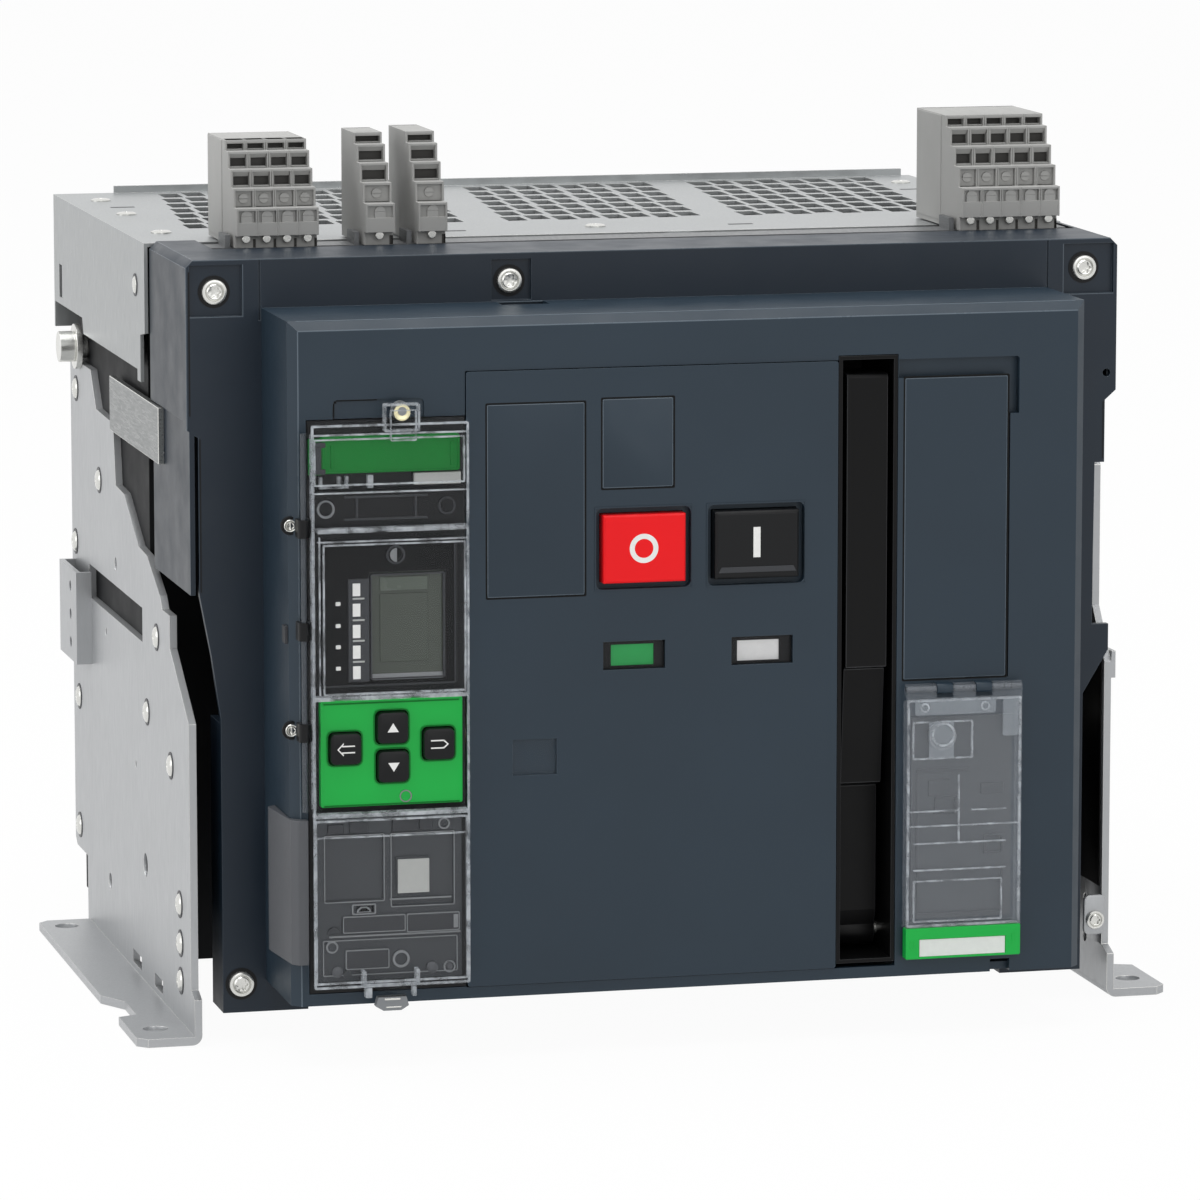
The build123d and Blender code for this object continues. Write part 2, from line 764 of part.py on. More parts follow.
def push_button(area, chamfer_size):
    """Square push button with a softened front edge and a stem behind."""
    front = bezel_y - fascia_proud - button_proud
    body = block((area[0], area[1]), (front, front + button_depth), (area[2], area[3]))
    edges = body.edges().filter_by_position(Axis.Y, front - 0.1, front + 0.1)
    body = chamfer(edges, chamfer_size)
    x = (area[0] + area[1]) / 2
    z = (area[2] + area[3]) / 2
    return body + rod_y(x, z, 3.0, (front + button_depth, front + button_depth + 14))


# Charging handle

def handle_well():
    """Black trough in which the charging handle lies."""
    outer = block((well_x0, well_x1), (bezel_y, bezel_y + well_depth), (well_z0, well_z1))
    inner = block((well_x0 + well_wall, well_x1 - well_wall),
                  (bezel_y - 1, bezel_y + well_depth - well_wall),
                  (well_z0 + well_wall, well_z1 - well_wall))
    bore = handle_rod(handle_pin_radius + pin_gap, (well_x0 - 1, well_x1 + 1))
    return outer - inner - bore


def handle_rod(radius, x):
    """Round bar on the handle's axis."""
    return rod_x(bezel_y + handle_pivot_back, handle_pivot_z, radius, x)


def handle_pin():
    return handle_rod(handle_pin_radius, (well_x0, well_x1))


def charging_handle():
    """Long black lever in three sections, hinged at its lower end."""
    x = (well_x0 + well_wall + handle_gap, well_x1 - well_wall - handle_gap)
    front = bezel_y + 1.0
    back = bezel_y + 24
    top = well_z1 - 7.1
    outline = [(front, 147), (front, top), (back - 4, top), (back, top - 12.4), (back + 4, 98),
               (back + 4, 46),
               (bezel_y + handle_pivot_back + 4, 39), (bezel_y + handle_pivot_back - 5, 39),
               (bezel_y + 14, 48), (bezel_y + 14, 98), (bezel_y + 8, 100), (front + 3, 146)]
    lever = prism_x(outline, x)
    lever = fillet(lever.edges().filter_by(Axis.X).filter_by_position(Axis.Z, top - 0.1, top + 0.1), 2.0)
    bore = handle_rod(handle_pin_radius + 2 * pin_gap, (x[0] - 1, x[1] + 1))
    return lever + handle_rod(handle_boss, x) - bore


# Clear flap, label holder and lock carrier

def flap_axis():
    return bezel_y - flap_proud / 2 - 0.5, flap_high - flap_barrel - 0.3


def flap_knuckles():
    """Spans in x of the barrels on the flap and of the ears on the bezel."""
    width = flap_x1 - flap_x0
    edges = [flap_x0 + share * width for share in (0.0, 0.26, 0.4, 0.6, 0.74, 1.0)]
    return edges


def clear_flap():
    """Clear flap over the lock carrier, with barrels at its upper edge."""
    y, z = flap_axis()
    e = flap_knuckles()
    front = bezel_y - flap_proud
    skin = block((flap_x0, flap_x1), (front, front + flap_sheet), (flap_low, z))
    back = bezel_y - fit_gap
    left = block((flap_x0, flap_x0 + flap_sheet), (front, back), (flap_low, z - 5))
    right = block((flap_x1 - flap_sheet, flap_x1), (front, back), (flap_low, z - 5))
    low = block((flap_x0, flap_x1), (front, back), (flap_low, flap_low + flap_sheet))
    flap = skin + left + right + low
    for span in ((e[0], e[1]), (e[2], e[3]), (e[4], e[5])):
        flap += rod_x(y, z, flap_barrel, span)
        flap += block(span, (front, y), (z - 3, z))
    flap -= rod_x(y, z, flap_pin_radius + pin_gap, (flap_x0 - 1, flap_x1 + 1))
    for span in ((e[1], e[2]), (e[3], e[4])):
        flap -= block((span[0] - 0.3, span[1] + 0.3), (front - 1, bezel_y), (z - 3.4, z + 4))
    return flap


def flap_pin():
    y, z = flap_axis()
    return rod_x(y, z, flap_pin_radius, (flap_x0, flap_x1))


def flap_ears():
    """Two ears on the front of the bezel that carry the flap's pin."""
    y, z = flap_axis()
    e = flap_knuckles()
    ears = []
    for span in ((e[1], e[2]), (e[3], e[4])):
        x = (span[0] + 0.1, span[1] - 0.1)
        ear = rod_x(y, z, flap_barrel, x) + block(x, (y, bezel_y + 0.5), (z - flap_barrel, z + flap_barrel))
        ears.append(ear - rod_x(y, z, flap_pin_radius + pin_gap, (x[0] - 1, x[1] + 1)))
    return ears


def label_holder():
    """Green holder with a shallow window for a card, at the foot of the flap."""
    front = bezel_y - flap_proud
    body = pad_y((flap_x0, flap_x1, holder_low, flap_low), (front, front + holder_sheet), 0.6)
    window = block((flap_x0 + 5.5, flap_x1 - 6), (front - 1, front + 0.6),
                   (holder_low + 0.8, flap_low - 4.6))
    return body - window


def lock_carrier():
    """Dark plate with lock places behind the clear flap."""
    y = (bezel_y - carrier_sheet, bezel_y)
    plate = block((flap_x0 + 3, flap_x1 - 3), y, (flap_low + 3, flap_high - 14))
    boss = rod_y(100.5, 119.0, 6.0, (bezel_y - carrier_sheet - 1.2, bezel_y - carrier_sheet))
    low_bay = block((flap_x0 + 6, flap_x1 - 7), (y[0], y[0] + 0.7), (flap_low + 5, flap_low + 22))
    slot = block((flap_x0 + 13, flap_x0 + 21), (y[0], y[0] + 0.7), (88, 94))
    eye = block((flap_x1 - 13, flap_x1 - 7), (y[0], y[0] + 0.7), (72, 78))
    return cut_all(plate + boss, [low_bay, slot, eye])


# Trip unit

def trip_base():
    """Housing of the trip unit, with ears for the pin of its clear cover."""
    y = (bezel_y, bezel_y + trip_depth)
    base = block((trip_x0, trip_x1), y, (trip_low, trip_high))
    base -= block((trip_x0 + 3, trip_x1 - 3), (bezel_y + 8, y[1] + 1), (trip_low + 3, trip_high - 3))
    hinge_y = cover_axis_y()
    for z in ear_spans():
        ear = rod_z(hinge_x, hinge_y, hinge_barrel, z)
        ear += block((hinge_x - hinge_barrel, trip_x0 + 1), (hinge_y, bezel_y - 0.05), z)
        base += ear
        base += block((trip_x0, trip_x0 + 1), (hinge_y, bezel_y + 1), z)
        base -= rod_z(hinge_x, hinge_y, hinge_pin_radius + pin_gap, (z[0] - 1, z[1] + 1))
    return base


def cover_axis_y():
    return front_y + cover_sheet + hinge_barrel


def ear_spans():
    """Spans in z of the fixed ears of the cover's hinge."""
    return [(z - ear_half, z + ear_half) for z in ear_places]


def trip_cover():
    """Clear cover with a raised rim, a window over the keypad, tabs and hinge barrels."""
    y = (front_y, front_y + cover_sheet)
    x0 = hinge_x + 2.4
    skin = block((x0, trip_x1), y, (cover_low, cover_high))
    back = bezel_y - fit_gap
    rim = [
        block((x0 + 3, trip_x1), (y[0], back), (cover_high - cover_rim, cover_high)),
        block((x0 + 3, trip_x1), (y[0], back), (cover_low, cover_low + cover_rim)),
        block((trip_x1 - 1.2, trip_x1), (y[0], back), (cover_low, cover_high)),
        block((x0 + 3, trip_x1), (y[0], y[0] + 3.4), (keypad[2] - 3, keypad[2] - 1.2)),
        block((x0 + 3, trip_x1), (y[0], y[0] + 3.4), (keypad[3] + 1.2, keypad[3] + 3)),
    ]
    cover = join_all([skin] + rim)
    cover -= block((keypad[0] - 0.8, trip_x1 - 1.2), (y[0] - 1, y[1] + 4),
                   (keypad[2] - 1.2, keypad[3] + 1.2))
    cover += block((-124.0, -109.3), (y[0], y[0] + 4.0), (cover_high - 1, cover_high + 7.8))
    cover += block((-127.0, -116.0), (y[0], y[0] + 4.0), (cover_low - 4, cover_low + 1))
    spans = barrel_spans()
    hinge_y = cover_axis_y()
    for z in spans:
        cover += rod_z(hinge_x, hinge_y, hinge_barrel, z)
        cover += block((hinge_x - 1.2, x0 + 1), (y[0], hinge_y), z)
        cover -= rod_z(hinge_x, hinge_y, hinge_pin_radius + pin_gap, (z[0] - 1, z[1] + 1))
    for z in ear_spans():
        cover -= block((hinge_x - 4, hinge_x + hinge_barrel + 0.4), (front_y - 1, bezel_y),
                       (z[0] - fit_gap, z[1] + fit_gap))
    return cover - rod_y(seal_screw[0], seal_screw[1], 1.8, (y[0] - 1, y[0] + 5))


def barrel_spans():
    """Spans in z of the moving barrels, between the fixed ears."""
    ears = ear_spans()
    starts = [hinge_low] + [e[1] + 0.3 for e in ears]
    ends = [e[0] - 0.3 for e in ears] + [cover_high - 4]
    return list(zip(starts, ends))


def cover_hinge_pin():
    return rod_z(hinge_x, cover_axis_y(), hinge_pin_radius, (hinge_low, cover_high - 4))


def cover_clips():
    """Sealing screw in the upper tab and grey latch under the lower tab."""
    y = front_y
    screw = rod_y(seal_screw[0], seal_screw[1], 3.6, (y + 4.0, y + 5.4))
    screw += rod_y(seal_screw[0], seal_screw[1], 1.7, (y + 0.3, y + 4.0))
    outline = [(-127, 27.5), (-116, 27.5), (-115, 24), (-118, 22.2), (-125, 22.2), (-128, 24)]
    return group([screw, prism_y(outline, (y + 0.3, y + 4))])


def trip_plate(area, sheet, radius=0.8):
    return pad_y(area, (bezel_y - sheet, bezel_y), radius)


def trip_top_module():
    """Green plug-in module behind the top of the cover."""
    return trip_plate(top_module, module_sheet)


def trip_stud_band():
    """Dark band with two round studs."""
    band = trip_plate(stud_band, 2.0)
    for x in (stud_band[0] + 4.2, stud_band[1] - 5.0):
        middle = (stud_band[2] + stud_band[3]) / 2
        band += rod_y(x, middle, 2.4, (bezel_y - 3.2, bezel_y - 2.0))
    return band


def trip_display_frame():
    """Black frame around the screen and the row of lights."""
    frame = trip_plate(display_frame, module_sheet, 1.5)
    frame -= block((screen[0], screen[1]), (bezel_y - module_sheet - 1, bezel_y), (screen[2], screen[3]))
    knob = rod_y(-118.3, display_frame[3] - 4.8, 2.6, (bezel_y - module_sheet - 1.0, bezel_y - module_sheet))
    return frame + knob


def trip_screen():
    """Screen module in the display frame."""
    a = grown(screen, -0.2)
    return block((a[0], a[1]), (bezel_y - 1.6, bezel_y), (a[2], a[3]))


def keypad_plate():
    """Green plate with four openings for the keys."""
    plate = trip_plate(keypad, keypad_sheet)
    for place in (key_up_place, key_down_place, key_back_place, key_enter_place):
        a = grown(key_area(place), slide_gap)
        plate -= block((a[0], a[1]), (bezel_y - keypad_sheet - 1, bezel_y + 1), (a[2], a[3]))
    return plate


def key_area(place):
    return (place[0] - key_half, place[0] + key_half, place[1] - key_half, place[1] + key_half)


def key(place):
    """Black key with rounded corners and a softened front edge."""
    front = bezel_y - key_height - key_travel - 0.2
    body = pad_y(key_area(place), (front, front + key_height), 1.4)
    return chamfer(body.edges().filter_by_position(Axis.Y, front - 0.05, front + 0.05), 0.5)


def trip_lower_module():
    """Lower part of the trip unit, with its plug places behind the cover."""
    area = lower_module
    body = trip_plate(area, module_sheet)
    front = bezel_y - module_sheet
    low, high = area[2], area[3]
    body -= block((area[0] + 3, area[0] + 26), (front - 1, front + 0.8), (high - 33, high - 7))
    body -= block((area[0] + 29, area[1] - 3), (front - 1, front + 0.8), (high - 36, high - 7))
    body -= block((area[0] + 15, area[0] + 22), (front - 1, front + 1.6), (high - 38, high - 34.6))
    body += block((area[0] + 31, area[1] - 13), (front, front + 1), (high - 30.6, high - 17))
    for x, z in ((5.5, 13.5), (11.5, 2.5), (45.5, 4.5), (51.5, 4.5)):
        body += rod_y(area[0] + x, low + z, 1.6, (front - 0.8, front))
    return body


def trip_side_block():
    """Grey block round the left front edge of the bezel, beside the trip unit."""
    front = bezel_y - side_block_front
    outline = [
        (trip_x0 - 1, front), (trip_x0 - 5, front), (-bezel_half - 0.6, front + 3),
        (-bezel_half - side_block_out, behind(-26)), (-bezel_half - side_block_out, behind(-23)),
        (-bezel_half, behind(-20)), (-bezel_half, bezel_y + bezel_chamfer),
        (-bezel_half + bezel_chamfer, bezel_y), (trip_x0 - 1, bezel_y),
    ]
    face = make_face(Polyline(*[(x, y, side_block_low) for x, y in reversed(outline)], close=True))
    return extrude(face, amount=side_block_high - side_block_low, dir=(0, 0, 1))


# Terminal blocks

def terminal_block(x0, ways, width, top, back):
    """Stepped block: rows of wire entries above two rows of push levers."""
    rise = (top - block_seat - 7.0) / block_steps
    outline = [(block_front + 4, block_seat), (block_front + 4, block_seat + 5),
               (block_front, block_seat + 5)]
    for step in range(block_steps):
        outline.append((block_front + step * step_run, block_seat + 7 + (step + 1) * rise))
        if step < block_steps - 1:
            outline.append((block_front + (step + 1) * step_run, block_seat + 7 + (step + 1) * rise))
    outline += [(back, top), (back, block_seat)]
    body = prism_x([(behind(d), z) for d, z in outline], (x0, x0 + ways * width))
    for way in range(ways):
        centre = x0 + (way + 0.5) * width
        for step in range(block_steps):
            low = block_seat + 7 + step * rise
            front = behind(block_front + step * step_run)
            half = min(width / 2 - 1.4, 2.9)
            sink = 2.0 if step < 2 else 5.0
            body -= block((centre - half, centre + half), (front - 1, front + sink),
                          (low + 1.6, low + rise - 1.4))
    return body


def terminal_rail():
    """Steel mounting rail under the terminal blocks, with clips at their sides."""
    x = (well_left + 1, well_right - 1)
    front = behind(block_front) + 8
    rail = block(x, (front, behind(rail_back) - 2.5), (block_seat - 2, block_seat))
    rail += block(x, (front, front + 2), (block_seat - 16, block_seat - 2))
    for start in (block_left_x, block_mid_a_x, block_mid_b_x, block_right_x):
        clip_y = (front, behind(rail_back) - 4)
        rail += block((start - 3.2, start - 1.2), clip_y, (block_seat, block_seat + 5))
    return rail


# Poles

def pole_case():
    """Moulded case with three chambers, ledges for the arc chutes and wall slots."""
    z = (case_low, cap_top - cap_sheet)
    case = block((-plate_inner, plate_inner), (case_y, case_back_y), z)
    for c in pole_centres:
        y = (case_y + case_wall - 2, case_back_y - case_wall)
        case -= block((c - chamber_half, c + chamber_half), y, (case_low + case_wall, chute_seat))
        case -= block((c - chute_half, c + chute_half), (y[0] + 4, y[1]), (chute_seat, z[1] + 1))
        for bar_z in (upper_bar_z, lower_bar_z):
            case -= block((c - bar_half - 0.15, c + bar_half + 0.15), (y[1] - 1, case_back_y + 1),
                          (bar_z - 0.15, bar_z + bar_thick + 0.15))
        case -= block((c - link_half - 4, c + link_half + 4), (case_y - 1, y[0] + 1),
                      (link_pin_z - 16, link_pin_z + 13))
    x = (-shaft_half - 5, shaft_half + 5)
    return case - rod_x(behind(arm_pivot_depth), arm_pivot_z, arm_pivot_radius + pin_gap, x)


def arc_chute(c):
    """Arc chute: two cheeks joined by splitter plates and a top frame."""
    x = (c - chute_half + 0.2, c + chute_half - 0.2)
    y = (case_y + case_wall + 2.4, case_back_y - case_wall - 0.2)
    z = (chute_seat, cap_top - cap_sheet - 2)
    left = block((x[0], x[0] + chute_sheet), y, z)
    right = block((x[1] - chute_sheet, x[1]), y, z)
    chute = left + right
    pitch = (y[1] - y[0] - 4) / chute_plates
    for i in range(chute_plates):
        start = y[0] + 2 + i * pitch
        chute += block((x[0], x[1]), (start, start + 2.5), (z[0] + 6, z[1] - 3))
    front = block((x[0], x[1]), (y[0], y[0] + 2.5), (z[1] - 8, z[1]))
    back = block((x[0], x[1]), (y[1] - 2.5, y[1]), (z[1] - 8, z[1]))
    return chute + front + back


def bar_holes(c, z):
    span = (z - 1, z + bar_thick + 1)
    y = rear_y - bar_hole_back
    return [rod_z(c + s * bar_hole_spacing / 2, y, bar_hole_radius, span) for s in (-1, 1)]


def upper_terminal(c):
    """Upper copper bar with the fixed contact pad at its inner end."""
    bar = block((c - bar_half, c + bar_half), (behind(pad_front) + 7, rear_y),
                (upper_bar_z, upper_bar_z + bar_thick))
    pad = block((c - arm_half, c + arm_half), (behind(pad_front), behind(pad_front) + 7),
                (upper_bar_z - 8, upper_bar_z + bar_thick))
    return cut_all(bar + pad, bar_holes(c, upper_bar_z))


def lower_terminal(c):
    """Lower copper bar; the moving contacts stand in front of it."""
    bar = block((c - bar_half, c + bar_half), (behind(pad_front) - 4, rear_y),
                (lower_bar_z, lower_bar_z + bar_thick))
    return cut_all(bar, bar_holes(c, lower_bar_z))


def current_sensors():
    """Ring sensors around the lower bars."""
    rings = []
    for c in pole_centres:
        ring = block((c - chamber_half, c + chamber_half), (case_back_y - 40, case_back_y - 16),
                     (lower_bar_z - 30, lower_bar_z + 44))
        ring -= block((c - bar_half - 0.2, c + bar_half + 0.2), (case_back_y - 41, case_back_y - 15),
                      (lower_bar_z - 0.2, lower_bar_z + bar_thick + 0.2))
        rings.append(ring)
    return group(rings)


def contact_pivot():
    """Steel rod on which all contact arms turn."""
    return rod_x(behind(arm_pivot_depth), arm_pivot_z, arm_pivot_radius, (-shaft_half, shaft_half))


def contact_arm(c):
    """Moving contact arm, drawn closed and then turned open."""
    y = behind(arm_pivot_depth)
    arm = block((c - arm_half, c + arm_half), (behind(arm_front), behind(arm_back)), (arm_pivot_z, arm_top))
    arm += rod_x(y, arm_pivot_z, 13.0, (c - arm_half, c + arm_half))
    arm += block((c - arm_half + 2, c + arm_half - 2), (behind(arm_back), behind(pad_front) - fit_gap),
                 (arm_top - 15, arm_top))
    arm -= rod_x(y, arm_pivot_z, arm_pivot_radius + 2 * pin_gap, (c - arm_half - 1, c + arm_half + 1))
    notch_half = link_half + 1.5
    arm -= block((c - notch_half, c + notch_half), (behind(arm_front) - 1, behind(link_pin_depth) + 12),
                 (link_pin_z - 14, link_pin_z + 14))
    arm += rod_x(behind(link_pin_depth) + 1, link_pin_z, link_pin_radius, (c - notch_half, c + notch_half))
    return arm.rotate(Axis((0, y, arm_pivot_z), (1, 0, 0)), arm_open_angle)


def crank_pin_place():
    """Depth and height of the crank pins with the contacts open."""
    angle = math.radians(crank_open_angle)
    return shaft_depth - crank_radius * math.sin(angle), shaft_z + crank_radius * math.cos(angle)


def arm_pin_place():
    """Depth and height of the pins of the open contact arms."""
    angle = math.radians(arm_open_angle)
    y = link_pin_depth + 1 - arm_pivot_depth
    z = link_pin_z - arm_pivot_z
    return (arm_pivot_depth + y * math.cos(angle) - z * math.sin(angle),
            arm_pivot_z + y * math.sin(angle) + z * math.cos(angle))


def pole_shaft():
    """Shaft across all poles with a pair of crank cheeks and a pin for each."""
    shaft = rod_x(behind(shaft_depth), shaft_z, shaft_radius, (-shaft_half, shaft_half))
    depth, z = crank_pin_place()
    for c in pole_centres:
        for side in (-1, 1):
            inner = c + side * (link_half + 0.6)
            x = sorted((inner, inner + side * crank_sheet))
            shaft += crank_cheek(x)
        shaft += rod_x(behind(depth), z, link_pin_radius, (c - link_half - 1, c + link_half + 1))
    return shaft


def crank_cheek(x):
    depth, z = crank_pin_place()
    cheek = rod_x(behind(shaft_depth), shaft_z, shaft_radius + 4, x) + rod_x(behind(depth), z, 6.0, x)
    web = block(x, (behind(shaft_depth) - 6, behind(shaft_depth) + 6), (shaft_z, shaft_z + crank_radius))
    return cheek + web.rotate(Axis((0, behind(shaft_depth), shaft_z), (1, 0, 0)), crank_open_angle)


def drive_links():
    """Insulating links from the cranks to the contact arms."""
    d0, z0 = crank_pin_place()
    d1, z1 = arm_pin_place()
    length = math.hypot(d1 - d0, z1 - z0)
    tilt = math.degrees(math.atan2(z1 - z0, d1 - d0))
    links = []
    for c in pole_centres:
        x = (c - link_half, c + link_half)
        link = block(x, (behind(d0), behind(d0) + length), (z0 - 4.5, z0 + 4.5))
        link += rod_x(behind(d0), z0, 6.5, x) + rod_x(behind(d0) + length, z0, 7.5, x)
        link -= rod_x(behind(d0), z0, link_pin_radius + pin_gap, (x[0] - 1, x[1] + 1))
        link -= rod_x(behind(d0) + length, z0, link_pin_radius + link_play, (x[0] - 1, x[1] + 1))
        links.append(link.rotate(Axis((0, behind(d0), z0), (1, 0, 0)), tilt))
    return group(links)


# Mechanism

def mechanism_plates():
    """Two steel plates that carry the pole shaft and the cam shaft."""
    plates = []
    for side in (-1, 1):
        x = sorted((side * mech_plate_x, side * (mech_plate_x + mech_plate_sheet)))
        plate = block(x, (behind(mech_front), case_y), (mech_low, mech_high))
        plate -= rod_x(behind(shaft_depth), shaft_z, bush_radius, (x[0] - 1, x[1] + 1))
        plate -= rod_x(behind(cam_depth), cam_z, cam_shaft_radius + pin_gap, (x[0] - 1, x[1] + 1))
        plates.append(plate)
    return group(plates)


def shaft_bushes():
    """Flanged bushes of the pole shaft."""
    bushes = []
    for side in (-1, 1):
        x = sorted((side * (mech_plate_x - 3), side * (mech_plate_x + mech_plate_sheet)))
        bush = rod_x(behind(shaft_depth), shaft_z, bush_radius, x)
        flange = sorted((side * (mech_plate_x - 3), side * mech_plate_x))
        bush += rod_x(behind(shaft_depth), shaft_z, bush_radius + 3, flange)
        bore = rod_x(behind(shaft_depth), shaft_z, shaft_radius + pin_gap, (x[0] - 1, x[1] + 1))
        bushes.append(bush - bore)
    return group(bushes)


def cam_shaft():
    """Charging shaft with its cam disc."""
    reach = mech_plate_x + mech_plate_sheet
    shaft = rod_x(behind(cam_depth), cam_z, cam_shaft_radius, (-reach, reach))
    return shaft + rod_x(behind(cam_depth) + 5, cam_z, 16.0, (-12, -4))


def ratchet_wheel():
    """Toothed wheel that the charging handle turns."""
    y = behind(cam_depth)
    x = (wheel_x, wheel_x + wheel_sheet)
    root = cam_z + wheel_radius - 5
    wheel = rod_x(y, cam_z, wheel_radius - 3, x)
    tooth = prism_x([(y - 4, root), (y + 4, root), (y + 4, cam_z + wheel_radius)], x)
    for i in range(wheel_teeth):
        wheel += tooth.rotate(Axis((0, y, cam_z), (1, 0, 0)), 360.0 * i / wheel_teeth)
    return wheel - rod_x(y, cam_z, cam_shaft_radius, x)


def spring_guide():
    """Rod and seat of the closing spring, fixed to the left mechanism plate."""
    y = behind(spring_depth)
    top = spring_low - spring_wire - fit_gap
    seat = block((-mech_plate_x, spring_x + spring_radius + 4), (y - 14, y + 14), (top - 4, top))
    return seat + rod_z(spring_x, y, spring_radius - spring_wire - 1, (top, spring_low + 92))


def closing_spring():
    """Coil spring on its guide rod."""
    height = spring_turns * spring_pitch
    path = Pos(spring_x, behind(spring_depth), spring_low) * Helix(spring_pitch, height, spring_radius)
    start = path @ 0
    section = Plane(origin=start, z_dir=path % 0) * Circle(spring_wire)
    coil = sweep(section, path=path)
    return coil


nodes = {
    "side_plate_left": side_plate(-1),
    "side_plate_right": side_plate(1),
    "side_fasteners": side_fasteners(),
    "top_cap": top_cap(),
    "cap_front_rail": cap_front_rail(),
    "side_bands": side_bands(),
    "rear_channels": rear_channels(),
    "front_shroud": front_shroud(),
    "front_screws": front_screws(),
    "front_bezel": join_all([front_bezel()] + flap_ears()),
    "right_panel": right_hand_panel(),
    "fascia": fascia(),
    "module_cover": insert_plate(module_cover),
    "lock_plate": insert_plate(lock_plate),
    "indicator_windows": indicator_windows(),
    "contact_flag": indicator_flag(contact_window),
    "charge_flag": indicator_flag(charge_window),
    "off_button": push_button(off_face, 0.8),
    "on_button": push_button(on_face, 1.2),
    "handle_well": handle_well(),
    "handle_pin": handle_pin(),
    "charging_handle": charging_handle(),
    "clear_flap": clear_flap(),
    "label_holder": label_holder(),
    "lock_carrier": lock_carrier(),
    "trip_base": trip_base(),
    "trip_cover": trip_cover(),
    "hinge_pins": group([cover_hinge_pin(), flap_pin()]),
    "cover_clips": cover_clips(),
    "trip_top_module": trip_top_module(),
    "trip_stud_band": trip_stud_band(),
    "trip_display_frame": trip_display_frame(),
    "trip_screen": trip_screen(),
    "keypad_plate": keypad_plate(),
    "key_up": key(key_up_place),
    "key_down": key(key_down_place),
    "key_back": key(key_back_place),
    "key_enter": key(key_enter_place),
    "trip_lower_module": trip_lower_module(),
    "trip_side_block": trip_side_block(),
    "terminal_block_left": terminal_block(block_left_x, 4, terminal_way, overall_height - 4, left_block_back),
    "terminal_block_mid_a": terminal_block(block_mid_a_x, 1, narrow_way, overall_height - 2, mid_a_back),
    "terminal_block_mid_b": terminal_block(block_mid_b_x, 1, narrow_way, overall_height - 2, mid_b_back),
    "terminal_block_right": terminal_block(block_right_x, 5, terminal_way, overall_height, block_back),
    "terminal_rail": terminal_rail(),
    "pole_case": pole_case(),
    "arc_chutes": group([arc_chute(c) for c in pole_centres]),
    "upper_terminals": group([upper_terminal(c) for c in pole_centres]),
    "lower_terminals": group([lower_terminal(c) for c in pole_centres]),
    "current_sensors": current_sensors(),
    "contact_pivot": contact_pivot(),
    "contact_arms": group([contact_arm(c) for c in pole_centres]),
    "pole_shaft": pole_shaft(),
    "drive_links": drive_links(),
    "mechanism_plates": mechanism_plates(),
    "shaft_bushes": shaft_bushes(),
    "cam_shaft": cam_shaft(),
    "ratchet_wheel": ratchet_wheel(),
    "spring_guide": spring_guide(),
    "closing_spring": closing_spring(),
}

os.makedirs("parts", exist_ok=True)
for name, shape in nodes.items():
    export_step(shape, "parts/" + name + ".step")
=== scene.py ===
import bmesh
import bpy
import math
from mathutils import Matrix, Vector

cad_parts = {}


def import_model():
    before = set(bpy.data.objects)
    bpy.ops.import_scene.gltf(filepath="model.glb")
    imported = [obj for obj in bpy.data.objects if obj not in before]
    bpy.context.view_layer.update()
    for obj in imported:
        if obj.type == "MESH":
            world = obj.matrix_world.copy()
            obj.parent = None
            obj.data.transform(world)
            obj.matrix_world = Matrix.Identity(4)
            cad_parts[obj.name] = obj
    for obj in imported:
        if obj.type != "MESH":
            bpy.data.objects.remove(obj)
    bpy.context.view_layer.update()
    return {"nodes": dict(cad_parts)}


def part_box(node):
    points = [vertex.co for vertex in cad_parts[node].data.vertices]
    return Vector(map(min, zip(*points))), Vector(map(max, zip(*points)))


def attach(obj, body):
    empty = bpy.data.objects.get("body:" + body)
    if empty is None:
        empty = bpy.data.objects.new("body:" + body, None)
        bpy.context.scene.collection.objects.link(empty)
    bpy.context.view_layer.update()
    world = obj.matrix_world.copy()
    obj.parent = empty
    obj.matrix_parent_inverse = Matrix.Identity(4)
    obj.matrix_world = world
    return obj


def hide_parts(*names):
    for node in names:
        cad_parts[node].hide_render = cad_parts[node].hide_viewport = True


# Air circuit breaker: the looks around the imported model.
# The frame is in metres; lengths below are in millimetres and scaled when a mesh is made.

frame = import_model()

MM = 0.001
bezel_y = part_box("right_panel")[0].y / MM
fascia_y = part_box("fascia")[0].y / MM
cover_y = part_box("trip_cover")[0].y / MM
trip_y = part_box("trip_base")[0].y / MM
shroud_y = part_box("front_shroud")[0].y / MM
case_back_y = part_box("pole_case")[1].y / MM
cap_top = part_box("top_cap")[1].z / MM


# Colours

def linear(value):
    value = value / 255
    return value / 12.92 if value <= 0.04045 else ((value + 0.055) / 1.055) ** 2.4


def colour(r, g, b):
    """Colour as it should look on screen, from 0 to 255 each, as linear values with alpha."""
    return (linear(r), linear(g), linear(b), 1.0)


def shade(rgba, factor):
    return tuple(min(1.0, c * factor) for c in rgba[:3]) + (1.0,)


# Materials

